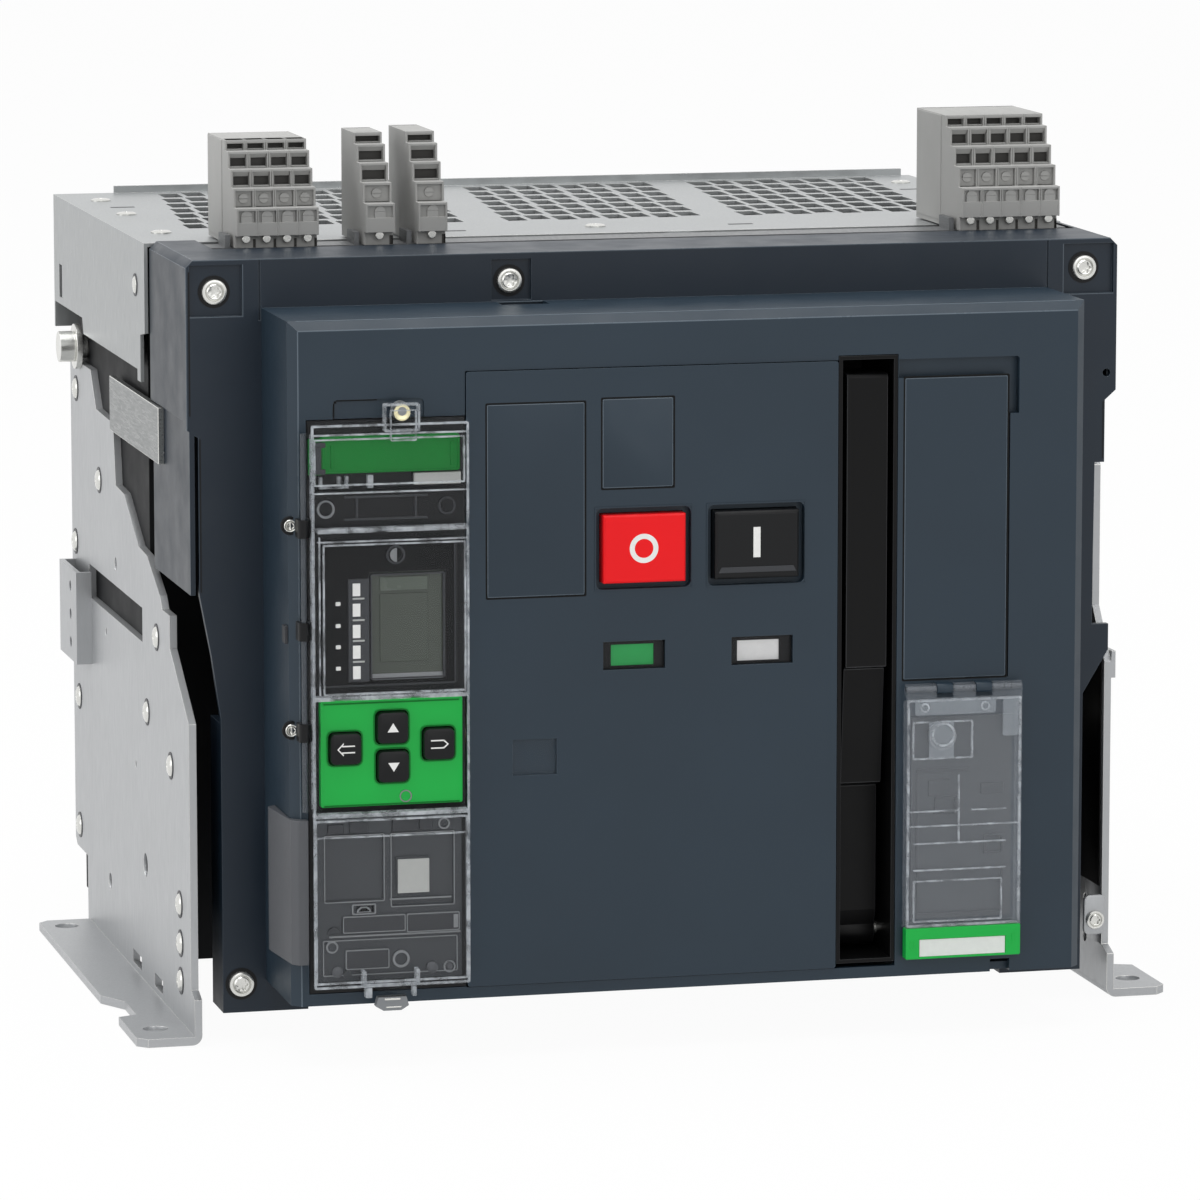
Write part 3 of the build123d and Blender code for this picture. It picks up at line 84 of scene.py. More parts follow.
class Finish:
    """A node material under construction."""

    def __init__(self, name):
        self.material = bpy.data.materials.new(name)
        self.material.use_nodes = True
        self.nodes = self.material.node_tree.nodes
        self.links = self.material.node_tree.links
        self.shader = self.nodes["Principled BSDF"]
        self.place = self.nodes.new("ShaderNodeTexCoord").outputs["Object"]

    def noise(self, scale, detail=3.0, stretch=(1, 1, 1), rough=0.55):
        mapping = self.nodes.new("ShaderNodeMapping")
        mapping.inputs["Scale"].default_value = stretch
        self.links.new(self.place, mapping.inputs["Vector"])
        texture = self.nodes.new("ShaderNodeTexNoise")
        texture.inputs["Scale"].default_value = scale
        texture.inputs["Detail"].default_value = detail
        texture.inputs["Roughness"].default_value = rough
        self.links.new(mapping.outputs["Vector"], texture.inputs["Vector"])
        return texture.outputs["Fac"]

    def ramp(self, value, low, high):
        """Value from 0..1 spread between two numbers."""
        node = self.nodes.new("ShaderNodeMapRange")
        node.inputs["From Min"].default_value = 0.3
        node.inputs["From Max"].default_value = 0.7
        node.inputs["To Min"].default_value = low
        node.inputs["To Max"].default_value = high
        self.links.new(value, node.inputs["Value"])
        return node.outputs["Result"]

    def mix(self, factor, a, b):
        node = self.nodes.new("ShaderNodeMix")
        node.data_type = "RGBA"
        self.links.new(factor, node.inputs["Factor"])
        for socket, value in ((node.inputs[6], a), (node.inputs[7], b)):
            if hasattr(value, "is_linked"):
                self.links.new(value, socket)
            else:
                socket.default_value = value
        return node.outputs[2]

    def bump(self, value, strength, distance):
        node = self.nodes.new("ShaderNodeBump")
        node.inputs["Strength"].default_value = strength
        node.inputs["Distance"].default_value = distance
        self.links.new(value, node.inputs["Height"])
        self.links.new(node.outputs["Normal"], self.shader.inputs["Normal"])

    def put(self, socket, value):
        if hasattr(value, "is_linked"):
            self.links.new(value, self.shader.inputs[socket])
        else:
            self.shader.inputs[socket].default_value = value


def plastic(name, rgba, rough=0.45, grain=0.12, drift=0.07, gloss=0.35):
    """Moulded plastic: fine grain, a slight drift of colour and uneven gloss."""
    finish = Finish(name)
    drifting = finish.ramp(finish.noise(14, 4), 0, 1)
    finish.put("Base Color", finish.mix(drifting, shade(rgba, 1 - drift), shade(rgba, 1 + drift)))
    finish.put("Roughness", finish.ramp(finish.noise(60, 4), rough - 0.05, rough + 0.06))
    finish.put("Specular IOR Level", gloss)
    finish.bump(finish.noise(3200, 2), grain, 0.0001)
    return finish.material


def steel(name, rgba, rough=0.33, along=(1, 1, 1), spots=0.06, metal=0.6):
    """Zinc-plated sheet: rolling lines along one direction and pale mottling."""
    finish = Finish(name)
    cloud = finish.ramp(finish.noise(22, 6, rough=0.7), 0, 1)
    lines = finish.ramp(finish.noise(260, 3, stretch=along), 0, 1)
    base = finish.mix(cloud, shade(rgba, 1 - spots), shade(rgba, 1 + spots))
    finish.put("Base Color", finish.mix(lines, base, shade(rgba, 1.03)))
    finish.put("Metallic", metal)
    finish.put("Roughness", finish.ramp(finish.noise(120, 5, stretch=along), rough - 0.07, rough + 0.1))
    finish.bump(finish.noise(700, 3, stretch=along), 0.1, 0.00008)
    return finish.material


def clear(name, tint, alpha, rough=0.08, painted_glint=0.0):
    """Clear moulded plastic: mostly see-through, with faint haze and gloss, or paler and more opaque with painted
    glints, its alpha varied by noise along an edge.
    """
    finish = Finish(name)
    haze = finish.ramp(finish.noise(30, 3), 0, 1)
    finish.put("Base Color", finish.mix(haze, shade(tint, 0.92), tint))
    if painted_glint:
        finish.put("Alpha", finish.ramp(finish.noise(170, 2), alpha - painted_glint, alpha + painted_glint))
    else:
        finish.put("Alpha", alpha)
        finish.put("Specular IOR Level", 0.3)
    finish.put("Roughness", finish.ramp(finish.noise(90, 3), rough, rough + 0.06))
    finish.bump(finish.noise(40, 2), 0.05, 0.0002)
    return finish.material


def printed(name, rgba, rough=0.5):
    """Printed mark or paint with the faint unevenness of ink."""
    finish = Finish(name)
    finish.put("Base Color", finish.mix(finish.ramp(finish.noise(400, 3), 0, 1), shade(rgba, 0.95), rgba))
    finish.put("Roughness", finish.ramp(finish.noise(200, 2), rough - 0.05, rough + 0.05))
    return finish.material


FLAT = (1, 12, 12)
UPRIGHT = (12, 12, 1)
DEEP = (12, 1, 12)

BEZEL = plastic("bezel_plastic", colour(33, 48, 60), 0.4)
# Paler copies of the bezel, shroud and well plastics, put on rounded edges as painted highlight.
BEZEL_PAINTED_HIGHLIGHT = plastic("bezel_painted_highlight", colour(88, 101, 112), 0.3, gloss=0.5)
# Darker than the bezel, which is much the same plastic: painted shade on the recessed shroud face.
SHROUD = plastic("shroud_plastic", colour(18, 32, 45), 0.42, gloss=0.38)
SHROUD_PAINTED_HIGHLIGHT = plastic("shroud_painted_highlight", colour(72, 83, 93), 0.3, gloss=0.5)
# BLACK, DEEP_BLACK and SHADE_GREY also serve as painted shade and shadow: in gaps, seams, slots and recesses, round
# screws and rivets, and on sheets inside.
BLACK = plastic("black_plastic", colour(16, 17, 19), 0.36, gloss=0.22)
DEEP_BLACK = plastic("well_plastic", colour(9, 9, 10), 0.4, gloss=0.15)
WELL_PAINTED_HIGHLIGHT = plastic("well_painted_highlight", colour(40, 41, 43), 0.35)
RED = plastic("red_plastic", colour(240, 16, 24), 0.34, drift=0.03, gloss=0.22)
GREEN = plastic("green_plastic", colour(0, 176, 66), 0.34, drift=0.03)
MODULE_GREEN = plastic("module_green", colour(0, 118, 40), 0.4, gloss=0.2)
FLAG_GREEN = printed("flag_green", colour(0, 158, 72))
FLAG_WHITE = printed("flag_white", colour(232, 232, 232))
FLAG_YELLOW = printed("flag_yellow", colour(235, 190, 40))
GREY = plastic("grey_plastic", colour(84, 86, 90), 0.4)
CLIP_GREY = plastic("clip_grey", colour(130, 133, 136), 0.35)
TERMINAL = plastic("terminal_plastic", colour(170, 170, 168), 0.55, gloss=0.25)
CASE = plastic("case_plastic", colour(24, 25, 27), 0.6, gloss=0.15)
PLATE_STEEL = steel("plate_steel", colour(172, 174, 176), 0.38, UPRIGHT)
CAP_STEEL = steel("cap_steel", colour(158, 161, 162), 0.34, UPRIGHT)
BAND_STEEL = steel("band_steel", colour(118, 121, 121), 0.3, DEEP)
DARK_STEEL = steel("dark_steel", colour(110, 112, 114), 0.4, DEEP)
PIN_STEEL = steel("pin_steel", colour(66, 71, 77), 0.3, UPRIGHT, metal=0.4)
BRIGHT = steel("bright_hardware", colour(214, 214, 210), 0.22, (1, 1, 1), metal=0.85)
COPPER = steel("copper", colour(205, 128, 92), 0.3, DEEP, 0.12, 0.9)
BRASS = steel("bush_metal", colour(205, 170, 105), 0.3, (1, 1, 1))
CLEAR = clear("clear_plastic", colour(150, 155, 160), 0.02)
FLAP_CLEAR = clear("flap_clear", colour(186, 192, 200), 0.13)
# Paler, more opaque clear with painted glints, for the edges and ribs of the clear parts.
CLEAR_PAINTED_GLINT = clear("clear_painted_glint", colour(210, 216, 222), 0.36, 0.15, 0.33)
CLEAR_RIB = clear("clear_rib", colour(190, 198, 206), 0.25, 0.2)
SHADE_GREY = plastic("dark_grey_plastic", colour(52, 54, 58), 0.4)
# Darker grey for the insides of the terminal entries: painted shade.
HOLLOW_SHADE = plastic("painted_hollow_shade", colour(62, 61, 59), 0.6)
MODULE_GREY = plastic("module_grey", colour(60, 63, 67), 0.38)
CARD = printed("blank_card", colour(228, 233, 228))
LCD = plastic("lcd", colour(62, 69, 61), 0.2, grain=0.03, gloss=0.5)
LCD_BAR = plastic("lcd_bar", colour(84, 92, 84), 0.25, grain=0.03)
WHITE = printed("white_mark", colour(240, 240, 238))
PALE = printed("pale_mark", colour(176, 178, 176))
SEAL = steel("seal_metal", colour(228, 220, 180), 0.25, (1, 1, 1))


# Mesh helpers

TURN = {
    "x": Matrix.Rotation(math.pi / 2, 4, "Y"),
    "y": Matrix.Rotation(math.pi / 2, 4, "X"),
    "z": Matrix.Identity(4),
}


def add_box(bm, x, y, z):
    middle = Matrix.Translation(((x[0] + x[1]) / 2, (y[0] + y[1]) / 2, (z[0] + z[1]) / 2))
    size = Matrix.Diagonal((abs(x[1] - x[0]), abs(y[1] - y[0]), abs(z[1] - z[0]), 1))
    bmesh.ops.create_cube(bm, size=1, matrix=middle @ size)


def add_rod(bm, axis, centre, radius, length, sides=24, taper=1.0):
    matrix = Matrix.Translation(centre) @ TURN[axis]
    bmesh.ops.create_cone(bm, cap_ends=True, segments=sides, radius1=radius, radius2=radius * taper,
                          depth=length, matrix=matrix)


def add_prism(bm, outline, axis, span):
    """Outline of two coordinates drawn out along the third, from span[0] to span[1]."""
    place = {"x": lambda a, b, s: (s, a, b), "y": lambda a, b, s: (a, s, b), "z": lambda a, b, s: (a, b, s)}[axis]
    rings = [[bm.verts.new(place(a, b, s)) for a, b in outline] for s in span]
    count = len(outline)
    bm.faces.new(rings[0])
    bm.faces.new(list(reversed(rings[1])))
    for i in range(count):
        j = (i + 1) % count
        bm.faces.new((rings[0][i], rings[1][i], rings[1][j], rings[0][j]))


def add_rings(bm, rings, closed=False):
    """Skin over rings of points with equal counts; its ends are capped, or joined if closed."""
    loops = [[bm.verts.new(p) for p in ring] for ring in rings]
    pairs = list(zip(loops, loops[1:]))
    if closed:
        pairs.append((loops[-1], loops[0]))
    else:
        bm.faces.new(loops[0])
        bm.faces.new(list(reversed(loops[-1])))
    for a, b in pairs:
        for i in range(len(a)):
            j = (i + 1) % len(a)
            bm.faces.new((a[i], b[i], b[j], a[j]))


def turned(axis, centre, profile, sides=32, lobes=0):
    """Rings of a turned shape. The profile has (radius, height, lobe depth) rows."""
    rings = []
    for radius, height, lobe in profile:
        ring = []
        for i in range(sides):
            a = 2 * math.pi * i / sides
            r = radius * (1 + lobe * math.cos(lobes * a))
            point = Vector((r * math.cos(a), r * math.sin(a), height))
            ring.append(Vector(centre) + TURN[axis] @ point)
        rings.append(ring)
    return rings


def add_ring(bm, axis, centre, outer, inner, height, sides=32):
    """Flat ring, from the centre plane along the axis."""
    profile = [(inner, 0, 0), (outer, 0, 0), (outer, height, 0), (inner, height, 0)]
    add_rings(bm, turned(axis, centre, profile, sides), closed=True)


def rounded(area, radius, inset=0.0, steps=4):
    """Corner-rounded outline of area (x0, x1, z0, z1), pulled in by inset."""
    x0, x1, z0, z1 = area[0] + inset, area[1] - inset, area[2] + inset, area[3] - inset
    r = max(0.05, min(radius - inset * 0.5, (x1 - x0) / 2.01, (z1 - z0) / 2.01))
    corners = ((x1 - r, z1 - r, 0), (x0 + r, z1 - r, 90), (x0 + r, z0 + r, 180), (x1 - r, z0 + r, 270))
    points = []
    for cx, cz, start in corners:
        for i in range(steps + 1):
            a = math.radians(start + 90 * i / steps)
            points.append((cx + r * math.cos(a), cz + r * math.sin(a)))
    return points


def add_rim(bm, area, width, y, radius=0.6):
    """Frame of a rounded rectangle in the front plane, from y[0] back to y[1]."""
    rings = []
    for inset, depth in ((width, y[1]), (0, y[1]), (0, y[0]), (width, y[0])):
        rings.append([(x, depth, z) for x, z in rounded(area, radius, inset)])
    add_rings(bm, rings, closed=True)


def add_cap(bm, area, y, radius=1.4, edge=0.7):
    """Plate with rounded corners and a softly rounded front edge, front y[0] to back y[1]."""
    rings = []
    for inset, depth in ((0, y[1]), (0, y[0] + edge), (edge * 0.3, y[0] + edge * 0.3), (edge, y[0])):
        rings.append([(x, depth, z) for x, z in rounded(area, radius, inset)])
    add_rings(bm, rings)


def add_half_round(bm, centre, radius, y, side=1, steps=14):
    """Half disc in the front plane, its round side up (+1) or down (-1)."""
    outline = [(centre[0] + radius * math.cos(math.pi * i / steps),
                centre[1] + side * radius * math.sin(math.pi * i / steps)) for i in range(steps + 1)]
    add_prism(bm, outline, "y", y)


def boxes(name, rows, material, body="root", bevel=0.2):
    """Softened plates in the front plane: each row is x0, x1, z0, z1, front y, back y."""
    bm = bmesh.new()
    for x0, x1, z0, z1, front, back in rows:
        add_box(bm, (x0, x1), (front, back), (z0, z1))
    return piece(name, bm, material, body, bevel)


def rims(name, rows, material, body="root"):
    """Thin frames in the front plane: each row is area, line width, front y, back y."""
    bm = bmesh.new()
    for area, width, front, back in rows:
        add_rim(bm, area, width, (front, back))
    return piece(name, bm, material, body, bevel=0)


def add_star_screw(bm, axis, centre, radius, height):
    """Pan-head screw with a raised rim, a ring groove and a six-lobed socket."""
    star = radius * 0.42
    profile = [
        (radius, 0, 0), (radius, height * 0.45, 0), (radius * 0.95, height * 0.72, 0),
        (radius * 0.84, height * 0.85, 0), (radius * 0.74, height * 0.82, 0), (radius * 0.69, height * 0.66, 0),
        (radius * 0.62, height * 0.8, 0), (radius * 0.54, height, 0), (star, height * 0.95, 0.17),
        (star * 0.92, height * 0.3, 0.17), (star * 0.5, height * 0.25, 0),
    ]
    add_rings(bm, turned(axis, centre, profile, 48, 6))


def piece(name, bm, material, body="root", bevel=0.25, stands_for=()):
    """Mesh object from a bmesh in millimetres, riding on a body."""
    bmesh.ops.recalc_face_normals(bm, faces=bm.faces)
    bmesh.ops.scale(bm, vec=(MM, MM, MM), verts=bm.verts)
    mesh = bpy.data.meshes.new(name)
    bm.to_mesh(mesh)
    bm.free()
    for polygon in mesh.polygons:
        polygon.use_smooth = True
    mesh.set_sharp_from_angle(angle=math.radians(38))
    obj = bpy.data.objects.new(name, mesh)
    bpy.context.scene.collection.objects.link(obj)
    mesh.materials.append(material)
    if bevel:
        soften(obj, bevel)
    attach(obj, body)
    if stands_for:
        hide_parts(*stands_for)
    return obj


def soften(obj, width, highlight_slot=-1, angle=40):
    """Small rounding of the sharp edges; where a slot is given, the rounded edges take that material as a paler
    painted highlight.
    """
    modifier = obj.modifiers.new("soft_edges", "BEVEL")
    modifier.width = width * MM
    modifier.segments = 2
    modifier.material = highlight_slot
    modifier.limit_method = "ANGLE"
    modifier.angle_limit = math.radians(angle)
    modifier.harden_normals = True


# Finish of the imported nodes

node_finish = {
    PLATE_STEEL: ("side_plate_left", "side_plate_right", "rear_channels"),
    CAP_STEEL: ("top_cap", "cap_front_rail"),
    BAND_STEEL: ("side_bands",),
    DARK_STEEL: ("mechanism_plates", "terminal_rail"),
    PIN_STEEL: ("hinge_pins",),
    BRIGHT: ("side_fasteners", "front_screws", "handle_pin", "contact_pivot", "pole_shaft",
             "cam_shaft", "ratchet_wheel", "spring_guide", "closing_spring"),
    SHROUD: ("front_shroud",),
    BEZEL: ("front_bezel", "right_panel", "fascia", "module_cover", "lock_plate"),
    BLACK: ("on_button", "key_up", "key_down", "key_back", "key_enter", "trip_base", "trip_stud_band"),
    MODULE_GREY: ("trip_lower_module", "lock_carrier"),
    DEEP_BLACK: ("handle_well", "charging_handle", "trip_display_frame"),
    RED: ("off_button",),
    GREEN: ("keypad_plate", "label_holder"),
    MODULE_GREEN: ("trip_top_module",),
    FLAG_GREEN: ("contact_flag",),
    FLAG_WHITE: ("charge_flag",),
    CLEAR: ("trip_cover", "indicator_windows"),
    FLAP_CLEAR: ("clear_flap",),
    LCD: ("trip_screen",),
    GREY: ("trip_side_block",),
    CLIP_GREY: ("cover_clips",),
    TERMINAL: ("terminal_block_left", "terminal_block_mid_a", "terminal_block_mid_b", "terminal_block_right"),
    CASE: ("pole_case", "arc_chutes", "current_sensors", "drive_links"),
    COPPER: ("upper_terminals", "lower_terminals", "contact_arms"),
    BRASS: ("shaft_bushes",),
}
# Paler finishes put on the rounded edges as painted highlight; the steel edges take the bright hardware finish for it.
highlight_finish = {
    BEZEL: BEZEL_PAINTED_HIGHLIGHT, SHROUD: SHROUD_PAINTED_HIGHLIGHT, PLATE_STEEL: BRIGHT, CAP_STEEL: BRIGHT, BAND_STEEL: BRIGHT,
    DEEP_BLACK: WELL_PAINTED_HIGHLIGHT,
}
rounded_nodes = {
    "front_bezel": 0.7, "fascia": 0.45, "front_shroud": 0.6, "module_cover": 0.45, "lock_plate": 0.45,
    "right_panel": 0.45, "charging_handle": 0.5, "off_button": 0.4, "on_button": 0.4, "keypad_plate": 0.25,
    "handle_well": 0.3, "trip_side_block": 0.4, "label_holder": 0.25, "trip_display_frame": 0.4,
    "trip_cover": 0.35, "clear_flap": 0.3, "top_cap": 0.25, "cap_front_rail": 0.4, "side_plate_left": 0.3,
    "side_plate_right": 0.3, "side_bands": 0.3, "pole_case": 0.5, "terminal_block_left": 0.25,
    "terminal_block_mid_a": 0.25, "terminal_block_mid_b": 0.25, "terminal_block_right": 0.25,
    "upper_terminals": 0.5, "lower_terminals": 0.5,
}


def dress_nodes():
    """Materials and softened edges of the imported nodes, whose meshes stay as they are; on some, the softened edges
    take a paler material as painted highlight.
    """
    for material, names in node_finish.items():
        for name in names:
            obj = frame["nodes"][name]
            obj.data.materials.clear()
            obj.data.materials.append(material)
    for name, width in rounded_nodes.items():
        obj = frame["nodes"][name]
        edge = highlight_finish.get(obj.data.materials[0])
        if edge:
            obj.data.materials.append(edge)
        weld = obj.modifiers.new("weld", "WELD")
        weld.merge_threshold = 0.01 * MM
        flat = obj.modifiers.new("flat_faces", "DECIMATE")
        flat.decimate_type = "DISSOLVE"
        flat.angle_limit = math.radians(1)
        soften(obj, width, 1 if edge else -1, 26 if name == "front_bezel" else 40)


# Front screws

def front_screws():
    heads, painted_shade_rings = bmesh.new(), bmesh.new()
    sunk = shroud_y + 2
    for x, z, y in ((-177.0, 295.0, sunk), (-60.0, 296.5, sunk), (175.0, 295.8, sunk),
                    (-168.8, 22.5, shroud_y), (168.8, 22.5, shroud_y)):
        add_star_screw(heads, "y", (x, y, z), 5.0, 2.4)
        # Black ring round each head: painted shadow on the shroud face.
        add_ring(painted_shade_rings, "y", (x, y + 0.1, z), 6.3, 4.9, 0.35, 40)
    piece("front_screw_heads", heads, BRIGHT, bevel=0, stands_for=("front_screws",))
    piece("front_screw_painted_shadows", painted_shade_rings, BLACK, bevel=0)


# Buttons, flags and marks

def marks():
    off_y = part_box("off_button")[0].y / MM
    on_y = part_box("on_button")[0].y / MM
    bm = bmesh.new()
    add_ring(bm, "y", (-20.3, off_y + 0.06, 197.6), 5.7, 3.7, 0.12, 64)
    piece("off_mark", bm, WHITE, "off_button_body", bevel=0)
    bm = bmesh.new()
    add_box(bm, (23.4, 26.2), (on_y - 0.1, on_y + 0.1), (192.6, 204.4))
    piece("on_mark", bm, WHITE, "on_button_body", bevel=0)


# Trip unit behind its clear cover

MODULE = bezel_y - 3.0
SKIN = (cover_y + 0.15, cover_y + 1.7)


def trip_cover_lines():
    """Thick edges, ledges and ribs of the clear cover, in a paler clear with painted glints for the light they catch.
    """
    front, back = SKIN
    deep = cover_y + 5.0
    rims("cover_outline", [
        ((-151.9, -90.7, 31.7, 249.8), 0.8, front, back),
        ((-151.0, -92.2, 226.5, 244.5), 0.6, front, back),
        ((-147.7, -91.9, 145.9, 204.0), 0.6, front, back),
        ((-151.4, -91.4, 33.4, 97.4), 0.7, front, back),
        ((-123.6, -109.7, 246.6, 257.3), 0.8, front, cover_y + 3.8),
        ((-121.3, -111.0, 243.0, 255.0), 0.5, front, back),
    ], CLEAR_PAINTED_GLINT, "trip_cover_body")
    boxes("cover_ledges", [
        (-151.5, -91.0, 245.6, 246.3, front, back), (-149.7, -91.0, 208.3, 210.0, front, deep),
        (-149.7, -91.0, 204.7, 205.3, front, back), (-151.5, -91.0, 223.4, 224.0, front, back),
        (-151.5, -91.0, 143.7, 145.3, front, deep), (-151.5, -91.0, 98.3, 99.8, front, deep),
        (-151.5, -91.0, 90.3, 90.9, front, back), (-133.0, -110.6, 32.0, 33.0, front, back),
        (-133.0, -131.6, 32.0, 38.0, front, deep), (-112.0, -110.6, 32.0, 38.0, front, deep),
        (-151.9, -150.9, 101.5, 246.0, front, deep), (-149.3, -148.7, 146.0, 207.0, front, back),
    ], CLEAR_PAINTED_GLINT, "trip_cover_body", 0.15)
    bm = bmesh.new()
    add_rings(bm, turned("y", (-116.6, cover_y + 1.2, 253.9),
                         [(3.2, 0, 0), (3.2, 0.6, 0), (2.6, 1.0, 0), (0.9, 0.6, 0)]))
    piece("cover_seal", bm, SEAL, "trip_cover_body", bevel=0)
    boxes("latch_wings", [
        (-131.9, -129.3, 27.4, 31.4, cover_y + 0.5, cover_y + 4.0),
        (-113.5, -111.8, 27.4, 31.4, cover_y + 0.5, cover_y + 4.0),
    ], CLEAR_PAINTED_GLINT, "trip_cover_body", 0.3)
    boxes("latch_lines", [
        (-124.6, -118.4, 26.3, 27.0, cover_y + 0.1, cover_y + 0.6),
        (-124.0, -118.0, 23.3, 23.8, cover_y + 0.1, cover_y + 0.6),
    ], BRIGHT, "trip_cover_body", 0.1)


def trip_top():
    boxes("top_module_holder", [
        (-151.0, -145.4, 230.4, 232.4, bezel_y - 3.6, bezel_y), (-151.0, -145.4, 240.6, 242.6, bezel_y - 3.6, bezel_y),
        (-149.6, -147.0, 230.4, 242.6, bezel_y - 3.4, bezel_y),
        (-125.4, -112.0, 225.0, 226.0, bezel_y - 1.6, bezel_y),
    ], SHADE_GREY, bevel=0.25)
    boxes("top_module_side", [(-151.6, -146.8, 230.0, 243.8, bezel_y - 2.2, bezel_y)], MODULE_GREEN)
    # Connector bodies in the paler clear with painted glints.
    boxes("top_connectors", [
        (-147.6, -136.0, 224.6, 225.6, bezel_y - 2.4, bezel_y), (-147.6, -146.4, 224.6, 229.2, bezel_y - 2.4, bezel_y),
        (-140.6, -139.2, 224.6, 229.2, bezel_y - 2.8, bezel_y), (-137.6, -136.4, 224.6, 229.4, bezel_y - 2.8, bezel_y),
        (-129.0, -126.7, 224.5, 229.6, bezel_y - 2.8, bezel_y),
    ], CLEAR_PAINTED_GLINT, bevel=0.2)
    boxes("top_module_label", [(-110.7, -92.4, 225.2, 229.8, bezel_y - 2.2, bezel_y)], PALE)
    rims("top_module_edge", [((-146.6, -93.4, 230.6, 243.6), 0.5, MODULE - 0.35, MODULE + 0.3)], MODULE_GREEN)
    boxes("top_module_ribs", [
        (-143.5, -142.4, 232.5, 241.5, MODULE - 0.4, MODULE + 0.3), (-96.8, -95.7, 232.5, 241.5, MODULE - 0.4, MODULE + 0.3),
    ], MODULE_GREEN)
    bm = bmesh.new()
    add_ring(bm, "y", (-145.3, bezel_y - 2.0, 216.8), 3.5, 2.5, 0.9)
    piece("stud_ring_left", bm, CLIP_GREY, bevel=0.15)
    bm = bmesh.new()
    add_ring(bm, "y", (-98.0, bezel_y - 2.0, 216.8), 3.4, 2.5, 0.8)
    piece("stud_ring_right", bm, SHADE_GREY, bevel=0.15)
    boxes("stud_band_ribs", [
        (-138.0, -105.5, 220.8, 221.6, bezel_y - 2.5, bezel_y - 1.9), (-138.0, -105.5, 212.2, 213.0, bezel_y - 2.5, bezel_y - 1.9),
        (-133.5, -132.7, 213.0, 220.8, bezel_y - 2.4, bezel_y - 1.9), (-110.5, -109.7, 213.0, 220.8, bezel_y - 2.4, bezel_y - 1.9),
    ], SHADE_GREY, bevel=0.15)


def trip_display():
    """Screen with its lit field, the strip of small plates and the row of lights."""
    glass = bezel_y - 1.6
    boxes("lcd_field", [(-124.3, -105.5, 157.0, 183.5, glass - 0.5, glass)], LCD)
    boxes("lcd_bar", [(-124.3, -105.5, 184.7, 190.0, glass - 0.55, glass)], LCD_BAR)
    rims("screen_rim", [((-128.2, -99.1, 150.6, 191.4), 0.6, MODULE - 0.3, MODULE + 1.2)], SHADE_GREY)
    bm = bmesh.new()
    add_prism(bm, [(MODULE - 0.2, 150.4), (MODULE + 1.3, 152.6), (MODULE + 1.3, 150.4)], "x", (-127.4, -99.8))
    piece("screen_lip", bm, CLIP_GREY, bevel=0.1)
    boxes("display_strip", [(-136.9, -128.7, 150.0, 189.8, MODULE - 0.35, MODULE + 0.2)], SHADE_GREY)
    white, bars = [], []
    for low, high in ((183.2, 188.1), (175.3, 180.3), (167.0, 172.1), (159.0, 164.1), (151.1, 156.1)):
        white.append((-135.2, -132.2, low, high, MODULE - 0.55, MODULE - 0.3))
    for z in (182.2, 173.9, 165.9, 157.8):
        bars.append((-135.2, -130.6, z - 0.35, z + 0.35, MODULE - 0.5, MODULE - 0.3))
    boxes("strip_plates", white, WHITE, bevel=0.08)
    boxes("strip_bars", bars, PALE, bevel=0.08)
    lights = [(-141.8, -139.9, z - 0.75, z + 0.75, MODULE - 0.5, MODULE + 0.2) for z in (180.4, 171.9, 163.7, 155.4)]
    boxes("display_lights", lights, WHITE, bevel=0.2)
    bm = bmesh.new()
    add_ring(bm, "y", (-118.3, MODULE - 0.1, 198.7), 3.7, 2.9, 0.8)
    piece("knob_ring", bm, SHADE_GREY, bevel=0.15)
    # Light grey half disc on the left: painted light on the lit half of the knob.
    bm = bmesh.new()
    half = [(-118.0 + 2.7 * math.cos(math.radians(90 + 15 * i)), 198.7 + 2.7 * math.sin(math.radians(90 + 15 * i)))
            for i in range(13)]
    add_prism(bm, half, "y", (MODULE - 1.4, MODULE - 0.9))
    piece("knob_painted_lit_half", bm, CLIP_GREY, bevel=0.1)
    rims("display_edge", [((-146.4, -94.8, 148.2, 203.0), 0.5, MODULE - 0.3, MODULE + 0.3)], SHADE_GREY)


